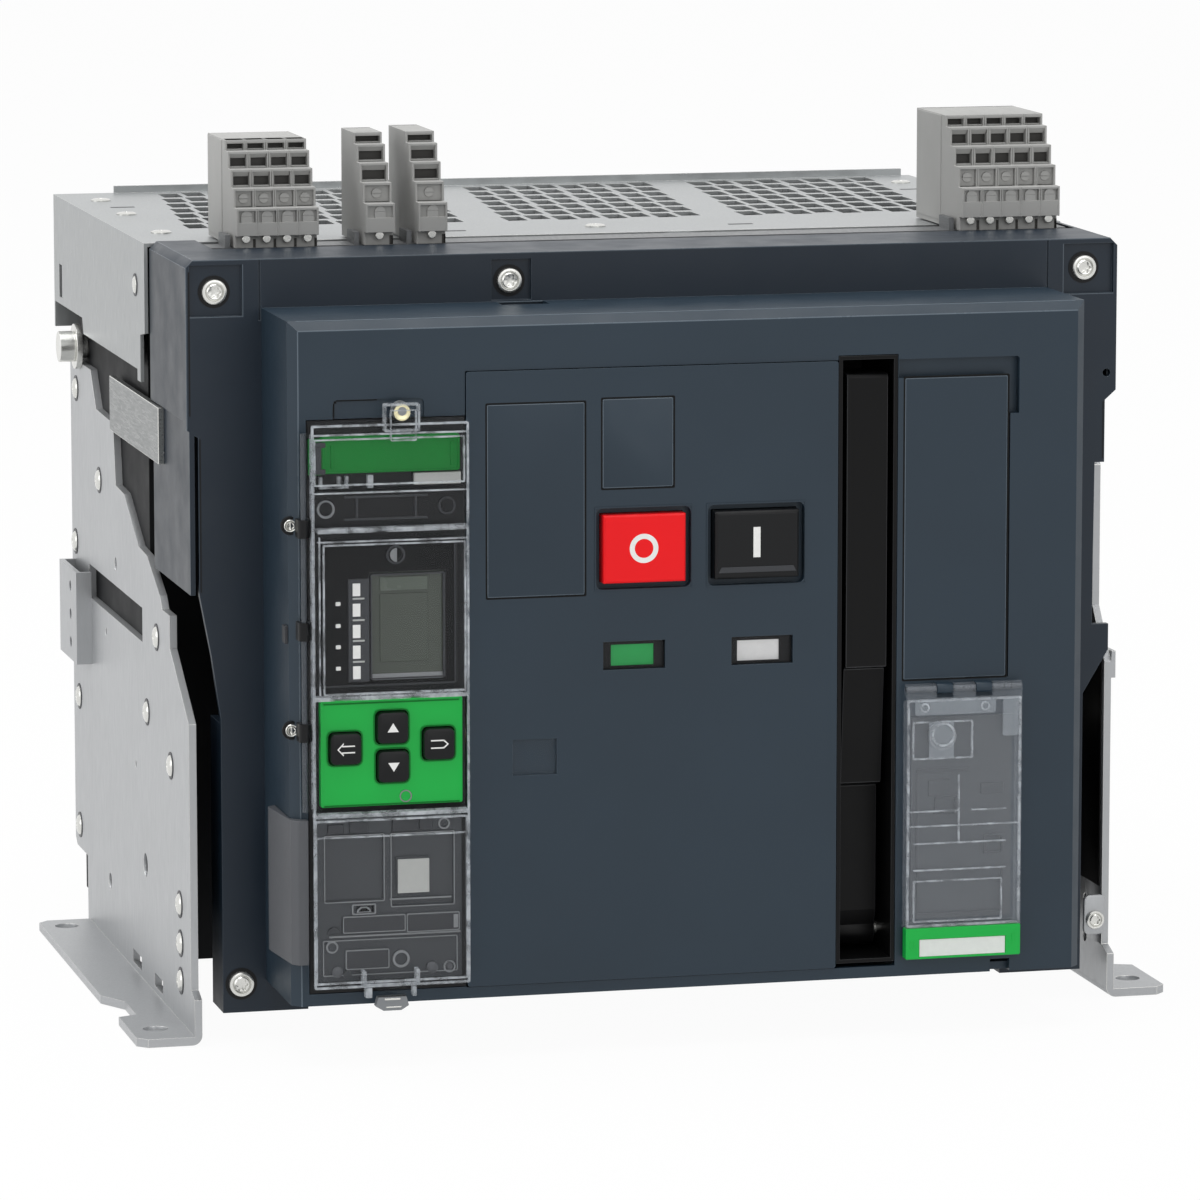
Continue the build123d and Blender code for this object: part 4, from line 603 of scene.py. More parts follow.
def keys():
    """Four rounded keys with their marks, and the moulded edges of the wells they sit in."""
    up, down, back, enter = (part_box("key_up"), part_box("key_down"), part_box("key_back"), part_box("key_enter"))
    plate = bezel_y - 3.4
    wells = bmesh.new()
    for name, box in (("up", up), ("down", down), ("back", back), ("enter", enter)):
        area = (box[0].x / MM, box[1].x / MM, box[0].z / MM, box[1].z / MM)
        bm = bmesh.new()
        add_cap(bm, area, (box[0].y / MM, box[1].y / MM), 2.2, 1.1)
        piece("key_cap_" + name, bm, BLACK, "key_" + name + "_body", 0, ("key_" + name,))
        grown = (area[0] - 0.9, area[1] + 0.9, area[2] - 0.9, area[3] + 0.9)
        add_rim(wells, grown, 0.5, (plate - 0.35, plate + 0.3), 2.6)
    piece("key_wells", wells, MODULE_GREEN, bevel=0)
    front = up[0].y / MM
    y = (front - 0.12, front + 0.05)

    def middle(box):
        return (box[0].x + box[1].x) / 2 / MM, (box[0].z + box[1].z) / 2 / MM

    for name, box, side in (("up", up, 1), ("down", down, -1)):
        x, z = middle(box)
        bm = bmesh.new()
        add_prism(bm, [(x - 2.2, z - side * 1.6), (x + 2.2, z - side * 1.6), (x, z + side * 1.9)], "y", y)
        piece("key_mark_" + name, bm, WHITE, "key_" + name + "_body", bevel=0)
    x, z = middle(back)
    bm = bmesh.new()
    for side in (-1, 1):
        add_prism(bm, [(x - 3.5, z), (x - 2.9, z), (x - 1.0, z + side * 1.9), (x - 1.0, z + side * 2.6)], "y", y)
        add_box(bm, (x - 1.6, x + 3.4), y, (z + side * 1.0, z + side * 1.5))
    piece("key_mark_back", bm, WHITE, "key_back_body", bevel=0)
    x, z = middle(enter)
    bm = bmesh.new()
    for side in (-1, 1):
        add_box(bm, (x - 3.4, x + 1.8), y, (z + side * 1.2, z + side * 1.7))
        add_prism(bm, [(x + 3.6, z), (x + 2.9, z), (x + 1.5, z + side * 1.2), (x + 1.8, z + side * 1.7)], "y", y)
    piece("key_mark_enter", bm, WHITE, "key_enter_body", bevel=0)
    bm = bmesh.new()
    add_ring(bm, "y", (-114.8, plate + 0.05, 104.9), 2.4, 1.95, 0.3)
    piece("keypad_ring", bm, CLIP_GREY, bevel=0)
    boxes("keypad_lines", [
        (-146.8, -93.6, 101.8, 102.4, plate - 0.3, plate + 0.2), (-146.8, -93.6, 141.4, 142.0, plate - 0.3, plate + 0.2),
    ], MODULE_GREEN, bevel=0.1)


def trip_lower():
    """Plates, sockets, screws and ribs of the lower module."""
    top = MODULE
    boxes("lower_module_plates", [
        (-145.5, -139.2, 91.2, 94.9, top - 0.8, top + 0.3), (-137.0, -129.6, 91.2, 95.6, top - 0.8, top + 0.3),
        (-120.2, -110.3, 91.2, 96.3, top - 1.0, top + 0.3), (-109.5, -104.3, 91.4, 96.0, top - 0.7, top + 0.3),
        (-139.8, -115.2, 52.5, 58.6, top - 1.1, top + 0.3), (-114.7, -93.8, 51.8, 58.6, top - 0.8, top + 0.3),
        (-138.6, -121.9, 38.2, 45.4, top - 1.2, top + 0.3),
    ], SHADE_GREY, bevel=0.3)
    boxes("lower_module_plate", [(-118.0, -105.6, 66.9, 80.2, top - 0.5, top + 0.3)], PALE)
    rims("lower_module_rims", [
        ((-146.9, -123.2, 64.2, 90.6), 0.35, top - 0.5, top + 0.3), ((-120.8, -95.6, 61.6, 90.6), 0.35, top - 0.5, top + 0.3),
        ((-136.1, -126.7, 59.3, 63.4), 0.5, top - 0.7, top + 0.4), ((-147.6, -94.6, 35.6, 49.6), 0.35, top - 0.7, top + 0.3),
        ((-139.8, -115.2, 52.3, 58.8), 0.35, top - 1.25, top), ((-114.7, -93.8, 51.6, 58.8), 0.35, top - 1.0, top),
        ((-138.8, -121.7, 38.0, 45.6), 0.35, top - 1.35, top),
    ], CLIP_GREY)
    boxes("lower_module_lines", [
        (-145.0, -93.4, 50.6, 51.3, top - 0.5, top + 0.2), (-121.2, -97.0, 64.4, 65.0, top - 0.5, top + 0.2),
        (-96.2, -94.4, 52.6, 57.8, top - 1.0, top - 0.6),
    ], CLIP_GREY, bevel=0.1)
    arch = [(-134.3, 60.1), (-128.5, 60.1), (-128.9, 61.3), (-130.2, 62.3), (-132.6, 62.3), (-133.9, 61.3)]
    hollow = [(-133.5, 60.5), (-129.3, 60.5), (-129.6, 61.1), (-130.5, 61.8), (-132.3, 61.8), (-133.2, 61.1)]
    bm = bmesh.new()
    add_prism(bm, arch, "y", (top - 0.5, top + 0.2))
    piece("socket_arch", bm, CLIP_GREY, bevel=0.05)
    bm = bmesh.new()
    add_prism(bm, hollow, "y", (top - 0.6, top))
    piece("socket_hollow", bm, DEEP_BLACK, bevel=0)
    bm = bmesh.new()
    for x, z, r in ((-99.8, 93.6, 2.3), (-144.0, 47.0, 2.4), (-116.9, 41.2, 3.4), (-97.8, 37.3, 2.4)):
        add_ring(bm, "y", (x, top + 0.1, z), r, r * 0.72, 0.9, 24)
    piece("lower_module_rings", bm, CLIP_GREY, bevel=0.1)
    bm = bmesh.new()
    for x, z, r in ((-141.9, 37.1, 2.2), (-104.6, 37.3, 2.3), (-97.8, 37.3, 1.3)):
        add_rings(bm, turned("y", (x, top, z), [(r, -0.3, 0), (r, 0.6, 0), (r * 0.8, 1.0, 0), (r * 0.3, 1.1, 0)]))
    piece("lower_module_plugs", bm, GREY, bevel=0)
    bm = bmesh.new()
    add_half_round(bm, (-143.2, 52.2), 2.6, (top - 1.0, top + 0.2))
    piece("lower_module_dome", bm, SHADE_GREY, bevel=0.3)


# Clear flap and what lies behind it

def flap_lines():
    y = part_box("clear_flap")[0].y / MM
    front, back = y + 0.12, y + 1.5
    # The flap's edges, rings and ribs take the paler clear with painted glints.
    rims("flap_outline", [
        ((85.5, 131.9, 43.7, 134.2), 0.9, front, back), ((87.6, 112.2, 110.4, 125.5), 0.6, front, back),
        ((88.2, 124.6, 45.6, 62.2), 0.5, front, back),
    ], CLEAR_PAINTED_GLINT, "flap_body")
    bm = bmesh.new()
    add_cap(bm, (88.4, 121.4, 128.0, 134.2), (y - 0.5, y + 0.5), 1.0, 0.4)
    add_cap(bm, (124.2, 130.6, 118.7, 134.2), (y - 0.8, y + 0.5), 0.8, 0.4)
    add_box(bm, (94.2, 104.3), (y - 0.3, y + 0.5), (110.8, 125.2))
    piece("flap_plates", bm, CLEAR_RIB, "flap_body", 0.2)
    bm = bmesh.new()
    for x, r in ((92.2, 1.9), (116.8, 1.9)):
        add_ring(bm, "y", (x, y - 0.4, 131.1), r, r * 0.6, 0.5, 24)
    add_ring(bm, "y", (99.9, y, 120.2), 4.8, 3.9, 0.6)
    piece("flap_rings", bm, CLEAR_PAINTED_GLINT, "flap_body", 0.1)
    boxes("flap_ribs", [
        (85.4, 107.0, 89.4, 90.0, front, back), (112.0, 126.0, 89.4, 90.0, front, back),
        (85.4, 131.0, 83.5, 84.1, front, back), (88.2, 126.0, 76.6, 77.2, front, back),
        (88.2, 126.0, 66.0, 66.6, front, back), (106.4, 107.0, 77.0, 104.0, front, back),
    ], CLEAR_PAINTED_GLINT, "flap_body", 0.1)


def holder_card():
    """Blank card in the green holder, and its two small moulded marks."""
    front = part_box("label_holder")[0].y / MM
    boxes("blank_card", [(90.9, 126.0, 31.9, 38.7, front + 0.3, front + 0.9)], CARD, "flap_body", 0.1)
    bm = bmesh.new()
    add_rim(bm, (86.8, 88.8, 35.0, 38.6), 0.4, (front - 0.15, front + 0.2), 0.8)
    add_box(bm, (128.6, 129.4), (front - 0.2, front + 0.2), (36.0, 39.4))
    piece("holder_marks", bm, GREEN, "flap_body", 0.08)


def lock_places():
    """Raised plates and openings on the carrier behind the flap."""
    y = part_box("lock_carrier")[0].y / MM + 1.2
    boxes("carrier_plates", [
        (95.0, 103.9, 95.2, 101.6, y - 0.7, y + 0.2), (116.5, 125.8, 95.4, 99.6, y - 0.9, y + 0.2),
        (90.0, 112.0, 104.5, 106.0, y - 0.8, y + 0.2), (90.0, 91.2, 66.6, 104.5, y - 0.8, y + 0.2),
    ], SHADE_GREY, bevel=0.25)
    rims("carrier_rims", [
        ((97.6, 106.6, 87.4, 94.6), 0.7, y - 0.9, y + 0.3), ((117.9, 125.8, 71.2, 78.8), 0.8, y - 0.9, y + 0.3),
        ((90.6, 125.8, 47.8, 66.0), 0.7, y - 0.6, y + 0.3),
    ], SHADE_GREY)
    bm = bmesh.new()
    add_ring(bm, "y", (100.5, y - 1.2, 119.0), 5.6, 4.6, 0.5)
    piece("carrier_boss_ring", bm, CLIP_GREY, bevel=0.15)


def button_details():
    """Moulded lips and frames round the buttons and the flag windows."""
    face = fascia_y
    bm = bmesh.new()
    add_prism(bm, [(10.6, 189.0), (39.4, 189.0), (40.6, 186.8), (9.4, 186.8)], "y",
              (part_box("on_button")[0].y / MM - 0.35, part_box("on_button")[0].y / MM + 0.3))
    piece("on_button_lip", bm, SHADE_GREY, "on_button_body", 0.15)
    rows = []
    for node in ("off_button", "on_button"):
        low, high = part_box(node)
        area = (low.x / MM - 3.1, high.x / MM + 3.1, low.z / MM - 3.1, high.z / MM + 3.1)
        rows.append((area, 0.5, face - 0.3, face + 0.2))
    rims("button_frames", rows, BEZEL)
    window_y = face + 1.7 + 1.2
    masks = []
    for x0, x1, ox0, ox1, z0, z1 in ((-36.9, -10.3, -32.2, -15.2, 151.4, 159.6), (14.4, 40.9, 18.3, 35.1, 151.4, 159.4)):
        low, high = 149.0, 161.7
        masks += [(x0, ox0, low, high, window_y - 0.15, window_y + 0.1), (ox1, x1, low, high, window_y - 0.15, window_y + 0.1),
                  (ox0, ox1, low, z0, window_y - 0.15, window_y + 0.1), (ox0, ox1, z1, high, window_y - 0.15, window_y + 0.1)]
    boxes("flag_masks", masks, BLACK, bevel=0.04)


# Terminal blocks

SEAT = cap_top - 2.5
STEP_RUN = 6.0
ROW_SHARES = (0.39, 0.57, 0.74, 0.9, 1.0)
STRIP_SHARE = 0.122


def terminal_details(name, node, ways):
    """Stepped terminal block: walls and shelves around its wire entries, levers and pins, with darker boxes inside the
    entries as painted shade.
    """
    low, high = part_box(node)
    x0, x1 = low.x / MM, high.x / MM
    front, back, top = low.y / MM, high.y / MM, high.z / MM
    width = (x1 - x0) / ways
    levels = [SEAT + share * (top - SEAT) for share in ROW_SHARES]
    strip = SEAT + STRIP_SHARE * (top - SEAT)
    outline = [(front + 4, SEAT), (front + 4, strip), (front, strip)]
    for row, level in enumerate(levels):
        outline.append((front + row * STEP_RUN, level))
        if row < len(levels) - 1:
            outline.append((front + (row + 1) * STEP_RUN, level))
    outline += [(back, top), (back, SEAT)]
    light, shade_cells, pins = bmesh.new(), bmesh.new(), bmesh.new()
    add_prism(light, outline, "x", (x0, x0 + 0.8))
    add_prism(light, outline, "x", (x1 - 0.8, x1))
    for i in range(1, ways):
        add_prism(light, outline, "x", (x0 + i * width - 0.6, x0 + i * width - 0.08))
        add_prism(light, outline, "x", (x0 + i * width + 0.08, x0 + i * width + 0.6))
    inner = (x0 + 0.4, x1 - 0.4)
    row_start = levels[0] - 6.6
    add_box(light, inner, (back - 2, back - 0.05), (SEAT, top - 0.05))
    add_box(light, inner, (front + 4 * STEP_RUN + 0.3, back - 0.05), (top - 1.5, top - 0.05))
    add_box(light, inner, (front + 0.15, front + 5), (strip + 0.1, row_start + 1.0))
    add_box(light, inner, (front + 4.2, back - 1), (SEAT, strip + 0.5))
    lows = [row_start] + levels[:-1]
    for row in range(5):
        y, z, head = front + row * STEP_RUN, lows[row], levels[row]
        add_box(light, inner, (y + 0.15, y + STEP_RUN + 1), (head - 1.1, head - 0.05))
        # Darker box behind each row of entries: painted shade inside the openings.
        add_box(shade_cells, (x0 + 0.3, x1 - 0.3), (y + 4.0, y + STEP_RUN + 2), (z - 0.5, head - 0.6))
        for way in range(ways):
            c = x0 + (way + 0.5) * width
            half = width / 2 - 0.7
            entry(light, shade_cells, row, c, half, y, z, head)
    for way in range(ways):
        c = x0 + (way + 0.5) * width
        add_rod(pins, "y", (c, front + 3.0, strip - 1.2), 1.7, 2.6, 20)
        add_box(shade_cells, (c + width * 0.38, c + width * 0.5), (front + 4.0, front + 4.6), (SEAT + 0.2, strip - 1.4))
        add_cap_top(light, (c - width * 0.34, c + width * 0.34), (back - 15, back - 6), top)
    if ways > 1:
        add_box(light, (x0 - 0.3, x0 + 0.5), (front + 5 * STEP_RUN, back - 1), (SEAT + 2, top - 0.4))
    piece(name, light, TERMINAL, "root", 0.2, (node,))
    piece(name + "_hollow_shade", shade_cells, HOLLOW_SHADE, "root", 0)
    piece(name + "_pins", pins, BRIGHT, "root", 0.3)


def entry(light, shade_cells, row, c, half, y, z, head):
    """One cell of a terminal block, in its row counted from below."""
    middle = (z + head) / 2
    if row == 0:
        add_box(light, (c - half, c + half), (y + 1.5, y + 4.2), (z, head - 0.8))
        add_half_round(light, (c, middle), min(half - 0.6, 2.3), (y + 0.5, y + 1.7))
        add_box(light, (c - min(half - 0.6, 2.3), c + min(half - 0.6, 2.3)), (y + 0.5, y + 1.7), (z + 0.9, middle))
    elif row == 1:
        add_box(light, (c - half, c + half), (y + 2.0, y + 4.2), (z, head - 0.8))
        add_half_round(light, (c, middle - 0.4), min(half - 1.0, 2.0), (y + 1.1, y + 2.2))
        add_half_round(light, (c, middle - 0.4), min(half - 1.0, 2.0), (y + 1.5, y + 2.2), -1)
    elif row in (2, 3):
        split = z + (head - z) * 0.58
        add_prism(light, [(y + 0.5, head - 1), (y + 4.2, head - 1), (y + 4.2, split), (y + 2.4, split)], "x",
                  (c - half, c + half))
        add_box(light, (c - half, c + half), (y + 0.8, y + 4.2), (z, z + 0.6))
        add_box(light, (c - half, c - half + 0.5), (y + 0.9, y + 4.2), (z, head - 0.9))
    else:
        split = z + (head - z) * 0.68
        add_box(light, (c - half, c + half), (y + 0.9, y + 4.2), (split, head - 0.8))
        add_box(light, (c - half, c + half), (y + 0.9, y + 4.2), (z, z + 0.5))
        add_box(light, (c - half, c - half + 0.4), (y + 0.7, y + 4.2), (z, head - 0.8))


def add_cap_top(bm, x, y, top):
    """Low raised plate on the top of a terminal block, kept level with it."""
    add_prism(bm, [(y[0], top - 1.4), (y[0] + 1, top - 0.01), (y[1] - 1, top - 0.01), (y[1], top - 1.4)], "x", x)


def terminals():
    terminal_details("terminals_left", "terminal_block_left", 4)
    terminal_details("terminals_mid_a", "terminal_block_mid_a", 1)
    terminal_details("terminals_mid_b", "terminal_block_mid_b", 1)
    terminal_details("terminals_right", "terminal_block_right", 5)


# Steelwork

def side_hardware():
    """Domed rivets and screws of the side plates, and the big pins under the cap; grey rings round the rivets and
    screws are painted shadow.
    """
    plate_x = 188.5
    places = ((24.0, 50.5), (23.0, 35.0), (23.0, 20.0), (41.0, 103.0), (93.0, 116.0), (70.0, 150.0),
              (201.0, 196.0), (256.0, 228.0), (261.0, 162.0), (256.0, 96.0), (258.0, 40.0))
    bm, shadow_rings_bm = bmesh.new(), bmesh.new()
    for side in (-1, 1):
        for depth, z in places:
            y = shroud_y + depth
            rings = turned("x", (0, 0, 0), [(4.3, 0, 0), (4.3, 0.35, 0), (3.7, 1.0, 0), (2.6, 1.5, 0), (1.2, 1.6, 0),
                                            (1.0, 1.2, 0)], 28)
            place = [[(side * (plate_x + abs(p[0])), y + p[1], z + p[2]) for p in ring] for ring in rings]
            add_rings(bm, place)
            # Grey ring round the head: painted shadow on the plate.
            add_ring_x(shadow_rings_bm, side, plate_x, y, z, 5.5, 4.3, 0.3)
        add_ring_x(shadow_rings_bm, side, 190.3, shroud_y + 100, cap_top - 21.5, 4.6, 3.5, 0.3)
        rings = turned("x", (0, 0, 0), [(3.5, -0.2, 0), (3.5, 0.3, 0), (2.8, 0.8, 0), (1.1, 0.9, 0)], 28)
        add_rings(bm, [[(side * (190.3 + p[0]), shroud_y + 100 + p[1], cap_top - 21.5 + p[2]) for p in ring]
                       for ring in rings])
        for x0, x1, r in ((185.5, 188.5, 5.0), (188.5, 191.0, 9.5), (191.0, 197.5, 6.5)):
            add_rod(bm, "x", (side * (x0 + x1) / 2, pin_y(), pin_z()), r, x1 - x0, 40)
    piece("side_rivets", bm, BRIGHT, "root", 0.3, ("side_fasteners",))
    piece("rivet_painted_shadows", shadow_rings_bm, SHADE_GREY, "root", 0)


def plate_tab():
    """Steel tab bent inwards from the right side plate, with its screw."""
    front = shroud_y - 1.4
    bm = bmesh.new()
    add_cap(bm, (177.1, 186.2, 25.2, 41.4), (front, front + 1.6), 2.4, 0.4)
    add_box(bm, (184.8, 186.4), (front + 0.3, shroud_y + 4), (26.5, 40.0))
    piece("plate_tab", bm, PLATE_STEEL, bevel=0.25)
    bm = bmesh.new()
    add_star_screw(bm, "y", (181.6, front, 31.4), 3.8, 2.0)
    piece("plate_tab_screw", bm, BRIGHT, bevel=0)


def add_ring_x(bm, side, x, y, z, outer, inner, height, sides=28):
    """Flat ring standing out from a side plate, used as painted shadow round a head."""
    rings = []
    for radius, out in ((inner, 0), (outer, 0), (outer, height), (inner, height)):
        rings.append([(side * (x + out), y + radius * math.cos(2 * math.pi * i / sides),
                       z + radius * math.sin(2 * math.pi * i / sides)) for i in range(sides)])
    add_rings(bm, rings, closed=True)


def pin_y():
    return shroud_y + 246.0


def pin_z():
    return cap_top - 62.5


def painted_shade_sheets():
    """Black sheets on the inner faces of the side plates, ahead of the pole case: painted shade of the dark interior.
    """
    bm = bmesh.new()
    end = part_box("pole_case")[0].y / MM - 0.5
    for side, top in ((-1, 118), (1, 146)):
        x = sorted((side * 184.9, side * 185.45))
        add_box(bm, x, (shroud_y + 4, end), (44, top))
    piece("painted_shade_sheets", bm, DEEP_BLACK, bevel=0.1)


def painted_gap_shade():
    """Painted shade: dark frames in the gaps round the inlaid plates, and a dark line in the groove above the trip
    unit.
    """
    rows = []
    for node, face in (("module_cover", fascia_y), ("lock_plate", fascia_y), ("right_panel", bezel_y)):
        low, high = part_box(node)
        area = (low.x / MM - 0.55, high.x / MM + 0.55, low.z / MM - 0.55, high.z / MM + 0.55)
        rows.append((area, 0.6, face - 0.05, face + 0.5))
    rims("painted_gap_shade", rows, DEEP_BLACK)
    boxes("bezel_groove_shade", [
        (-141.7, -141.2, 250.2, 257.0, bezel_y - 0.05, bezel_y + 0.4), (-140.6, -124.6, 257.8, 258.3, bezel_y - 0.05, bezel_y + 0.4),
        (-141.4, -140.4, 257.0, 257.9, bezel_y - 0.05, bezel_y + 0.4),
    ], DEEP_BLACK, bevel=0)


def painted_edge_highlights():
    """Thin pale lines along the front edges of the bezel, the shroud and its screw recesses: painted highlights where
    those rounded edges would catch the light.
    """
    low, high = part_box("front_bezel")
    half, top, bottom = high.x / MM, high.z / MM, low.z / MM
    chamfer, thick, proud = 3.6, 0.45, 0.04
    across, upright = (-half + chamfer, half - chamfer), (bottom, top - chamfer)
    front = (bezel_y - proud, bezel_y + thick)
    left = -half + chamfer
    boxes("bezel_painted_highlights", [
        across + (top - chamfer - thick / 2, top - chamfer + thick / 2) + front,
        across + (top - thick, top + proud, bezel_y + chamfer - thick / 2, bezel_y + chamfer + thick / 2),
        (-half, half, top - thick, top + proud, shroud_y - 2 * thick, shroud_y - thick),
        (left - thick / 2, left + thick / 2) + upright + front,
    ], BEZEL_PAINTED_HIGHLIGHT, bevel=0.1)
    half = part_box("front_shroud")[1].x / MM
    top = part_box("front_shroud")[1].z / MM
    front = (shroud_y - proud, shroud_y + thick)
    recess_low, recess_in, recess_out = top - 22, half - 22.3, half - 1.5
    rows = [(-half + 3, half - 3, top - thick, top + proud) + front,
            (-half - proud, -half + thick, top - 66, top - 3) + front]
    for side in (-1, 1):
        x = sorted((side * recess_in, side * recess_out))
        rows.append((x[0], x[1], recess_low - thick, recess_low) + front)
        x = sorted((side * (recess_in - thick), side * recess_in))
        rows.append((x[0], x[1], recess_low - thick, top - 2) + front)
    boxes("shroud_painted_highlights", rows, SHROUD_PAINTED_HIGHLIGHT, bevel=0.1)


def rear_details():
    """Ribs and screws on the back of the pole case."""
    bm = bmesh.new()
    for x in (-57.5, 57.5):
        for z in (22, 122, 226):
            add_star_screw(bm, "y", (x, 0, z), 4.0, 2.4)
    bmesh.ops.rotate(bm, verts=bm.verts, cent=(0, 0, 0), matrix=Matrix.Rotation(math.pi, 3, "Z"))
    bmesh.ops.translate(bm, verts=bm.verts, vec=(0, case_back_y, 0))
    piece("case_screws", bm, BRIGHT, "root", 0)
    bm = bmesh.new()
    for centre in (-115, 0, 115):
        for z0, z1 in ((40, 80), (166, 206)):
            add_box(bm, (centre - 40, centre - 36.5), (case_back_y - 0.5, case_back_y + 3), (z0, z1))
            add_box(bm, (centre + 36.5, centre + 40), (case_back_y - 0.5, case_back_y + 3), (z0, z1))
        for z in (104, 122, 140):
            add_box(bm, (centre - 38, centre + 38), (case_back_y - 0.5, case_back_y + 2), (z - 1.2, z + 1.2))
    piece("case_ribs", bm, CASE, "root", 0.4)


def cap_details():
    """Pressed clips and small slots on the top cap, and seams of the shroud; the slots and seams are dark patches of
    painted shade.
    """
    level = cap_top - 3.0
    clips, slots = bmesh.new(), bmesh.new()
    for x, depth in ((-176, 262), (-176, 200), (-176, 120), (176, 262), (176, 200), (176, 120), (0, 104)):
        add_rings(clips, turned("z", (x, shroud_y + depth, level), [(4.2, -0.3, 0), (4.2, 0.5, 0), (3.2, 1.0, 0),
                                                                   (1.3, 1.1, 0), (1.0, 0.6, 0)], 28))
    # Slots drawn as dark grey patches: painted shade of the openings.
    for x, depth in ((-172, 232), (-150, 100), (-60, 100), (60, 100), (172, 232), (172, 150)):
        add_box(slots, (x - 5, x + 5), (shroud_y + depth - 1.2, shroud_y + depth + 1.2), (level - 0.4, level + 0.12))
    piece("cap_rivets", clips, BRIGHT, bevel=0)
    piece("cap_slot_shade", slots, SHADE_GREY, bevel=0)
    # Black lines on the shroud face: painted shade in its seams.
    boxes("shroud_seam_shade", [
        (-187.5, -186.9, 247.0, 303.0, shroud_y - 0.06, shroud_y + 0.4),
        (-183.6, -183.0, 178.0, 238.0, shroud_y - 0.06, shroud_y + 0.4),
        (183.0, 183.5, 219.0, 242.0, shroud_y - 0.06, shroud_y + 0.4),
    ], BLACK, bevel=0)


def bezel_details():
    """Two small screws and a clip at the left front edge of the bezel; black rings round the screws paint the shade in
    their round recesses.
    """
    bm, painted_shade_rings = bmesh.new(), bmesh.new()
    for z in (210.4, 131.3):
        add_star_screw(bm, "y", (-158.2, bezel_y + 3.2, z), 2.6, 2.2)
        # Black ring: painted shade of the round recess round each screw.
        add_ring(painted_shade_rings, "y", (-158.2, bezel_y + 3.4, z), 3.6, 2.7, 1.6)
    piece("bezel_side_screws", bm, BRIGHT, bevel=0)
    piece("bezel_screw_recess_shade", painted_shade_rings, BLACK, bevel=0.2)
    boxes("bezel_side_clip", [(-160.2, -158.6, 164.5, 171.5, bezel_y + 4.5, bezel_y + 9.5)], SHADE_GREY,
          bevel=0.4)


dress_nodes()
front_screws()
marks()
trip_cover_lines()
trip_top()
trip_display()
keys()
trip_lower()
flap_lines()
holder_card()
lock_places()
button_details()
terminals()
side_hardware()
plate_tab()
painted_shade_sheets()
painted_gap_shade()
painted_edge_highlights()
rear_details()
cap_details()
bezel_details()


# Camera, lights and floor

def camera():
    """Long lens at the photograph's viewing angle."""
    yaw = math.radians(13.968)
    pitch = math.radians(8.703)
    data = bpy.data.cameras.new("camera")
    data.sensor_width = 36.0
    data.lens = 203.8
    data.clip_end = 60
    obj = bpy.data.objects.new("camera", data)
    bpy.context.scene.collection.objects.link(obj)
    obj.location = (-0.66224, -2.68448, 0.57412)
    forward = Vector((math.sin(yaw) * math.cos(pitch), math.cos(yaw) * math.cos(pitch), -math.sin(pitch)))
    obj.rotation_mode = "QUATERNION"
    obj.rotation_quaternion = forward.to_track_quat("-Z", "Y")
    bpy.context.scene.camera = obj


def area_light(name, place, target, size, power):
    data = bpy.data.lights.new(name, "AREA")
    data.shape = "RECTANGLE"
    data.size, data.size_y = size
    data.energy = power
    obj = bpy.data.objects.new(name, data)
    bpy.context.scene.collection.objects.link(obj)
    obj.location = place
    obj.rotation_mode = "QUATERNION"
    obj.rotation_quaternion = (Vector(target) - Vector(place)).to_track_quat("-Z", "Y")


def only_seen(nodes, links):
    """1 for rays that see the background, straight or in gloss or glass, and 0 for those that light."""
    path = nodes.new("ShaderNodeLightPath")
    total = path.outputs["Is Camera Ray"]
    for output in ("Is Glossy Ray", "Is Transmission Ray"):
        node = nodes.new("ShaderNodeMath")
        node.operation = "MAXIMUM"
        links.new(total, node.inputs[0])
        links.new(path.outputs[output], node.inputs[1])
        total = node.outputs["Value"]
    return total


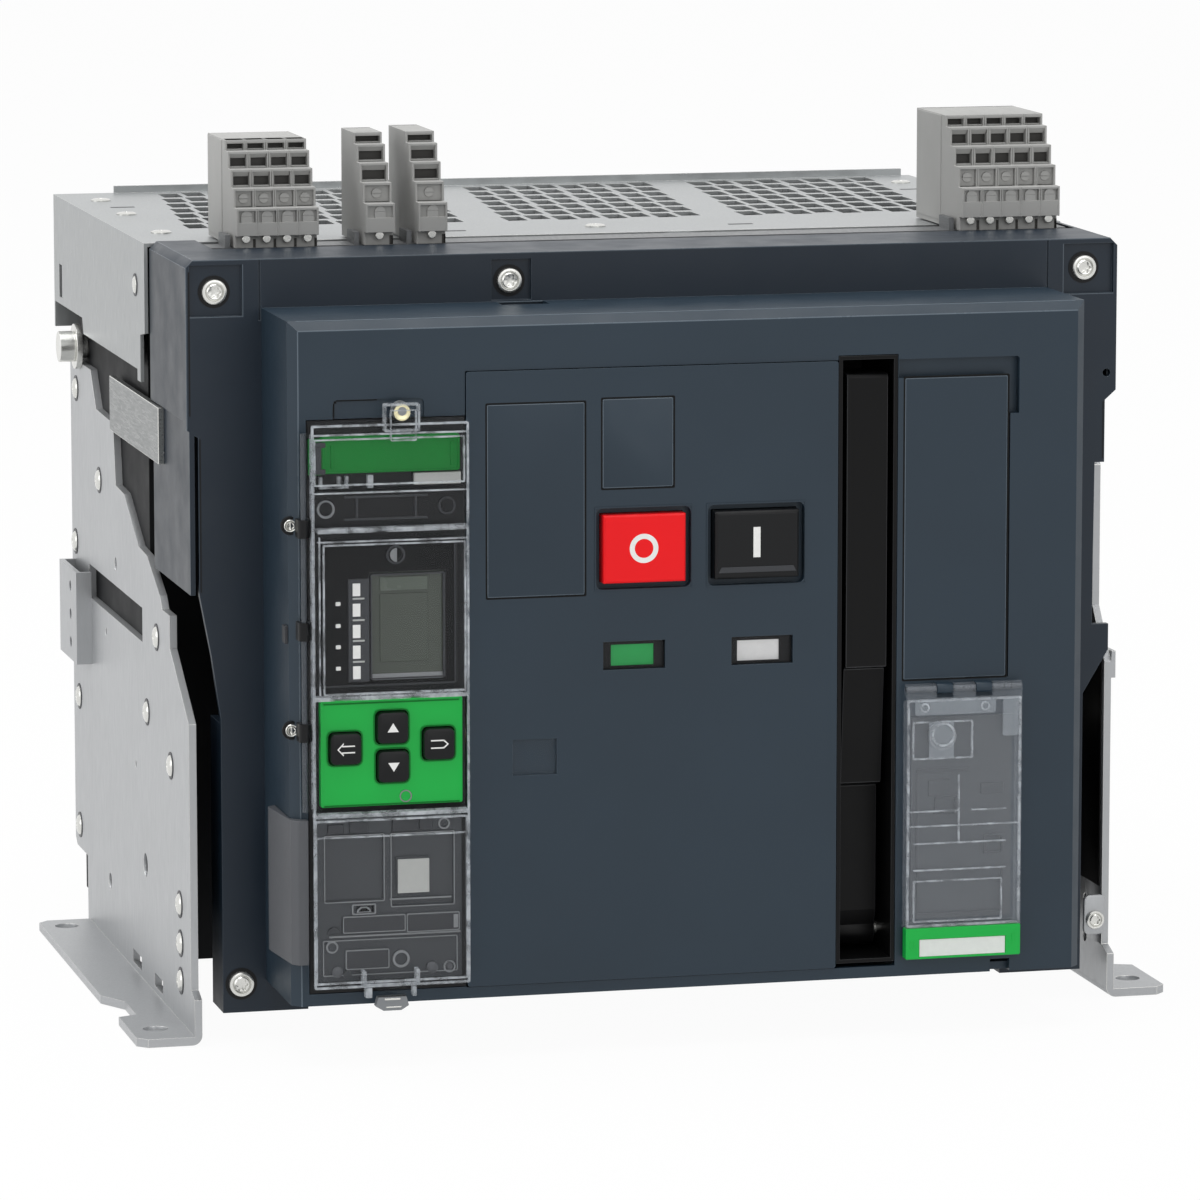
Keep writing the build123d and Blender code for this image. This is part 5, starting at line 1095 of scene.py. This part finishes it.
def world():
    """Plain pale surroundings that light from all sides."""
    made = bpy.data.worlds.new("studio")
    bpy.context.scene.world = made
    made.use_nodes = True
    nodes, links = made.node_tree.nodes, made.node_tree.links
    seen, lit = nodes["Background"], nodes.new("ShaderNodeBackground")
    seen.inputs["Color"].default_value = (1, 1, 1, 1)
    lit.inputs["Color"].default_value = (1, 1, 1, 1)
    lit.inputs["Strength"].default_value = 0.5
    mix = nodes.new("ShaderNodeMixShader")
    links.new(only_seen(nodes, links), mix.inputs["Fac"])
    links.new(lit.outputs["Background"], mix.inputs[1])
    links.new(seen.outputs["Background"], mix.inputs[2])
    links.new(mix.outputs["Shader"], nodes["World Output"].inputs["Surface"])


def floor():
    """Wide pale floor that keeps a soft shadow."""
    finish = Finish("floor_paint")
    finish.put("Base Color", finish.mix(finish.ramp(finish.noise(2, 2), 0, 1), (0.86, 0.86, 0.86, 1), (0.88, 0.88, 0.88, 1)))
    finish.put("Roughness", 0.9)
    finish.put("Specular IOR Level", 0.1)
    glow = finish.nodes.new("ShaderNodeEmission")
    glow.inputs["Strength"].default_value = 1.0
    blend = finish.nodes.new("ShaderNodeMixShader")
    share = finish.nodes.new("ShaderNodeMath")
    share.operation = "MULTIPLY"
    share.inputs[1].default_value = 0.96
    finish.links.new(only_seen(finish.nodes, finish.links), share.inputs[0])
    finish.links.new(share.outputs["Value"], blend.inputs["Fac"])
    finish.links.new(finish.shader.outputs["BSDF"], blend.inputs[1])
    finish.links.new(glow.outputs["Emission"], blend.inputs[2])
    finish.links.new(blend.outputs["Shader"], finish.nodes["Material Output"].inputs["Surface"])
    mesh = bpy.data.meshes.new("floor")
    half = 20.0
    mesh.from_pydata([(-half, -half, 0), (half, -half, 0), (half, half, 0), (-half, half, 0)], [], [(0, 1, 2, 3)])
    obj = bpy.data.objects.new("floor", mesh)
    bpy.context.scene.collection.objects.link(obj)
    obj.location.z = -0.0005
    mesh.materials.append(finish.material)


camera()
world()
floor()
middle = (0, 0, 0.15)
area_light("top", (-0.3, -0.1, 2.9), middle, (2.4, 2.4), 56)
area_light("left", (-2.8, -0.5, 1.2), middle, (2.0, 2.0), 15)
area_light("front", (0.4, -3.2, 1.5), middle, (2.6, 2.0), 17)
bpy.context.scene.view_settings.view_transform = "Standard"
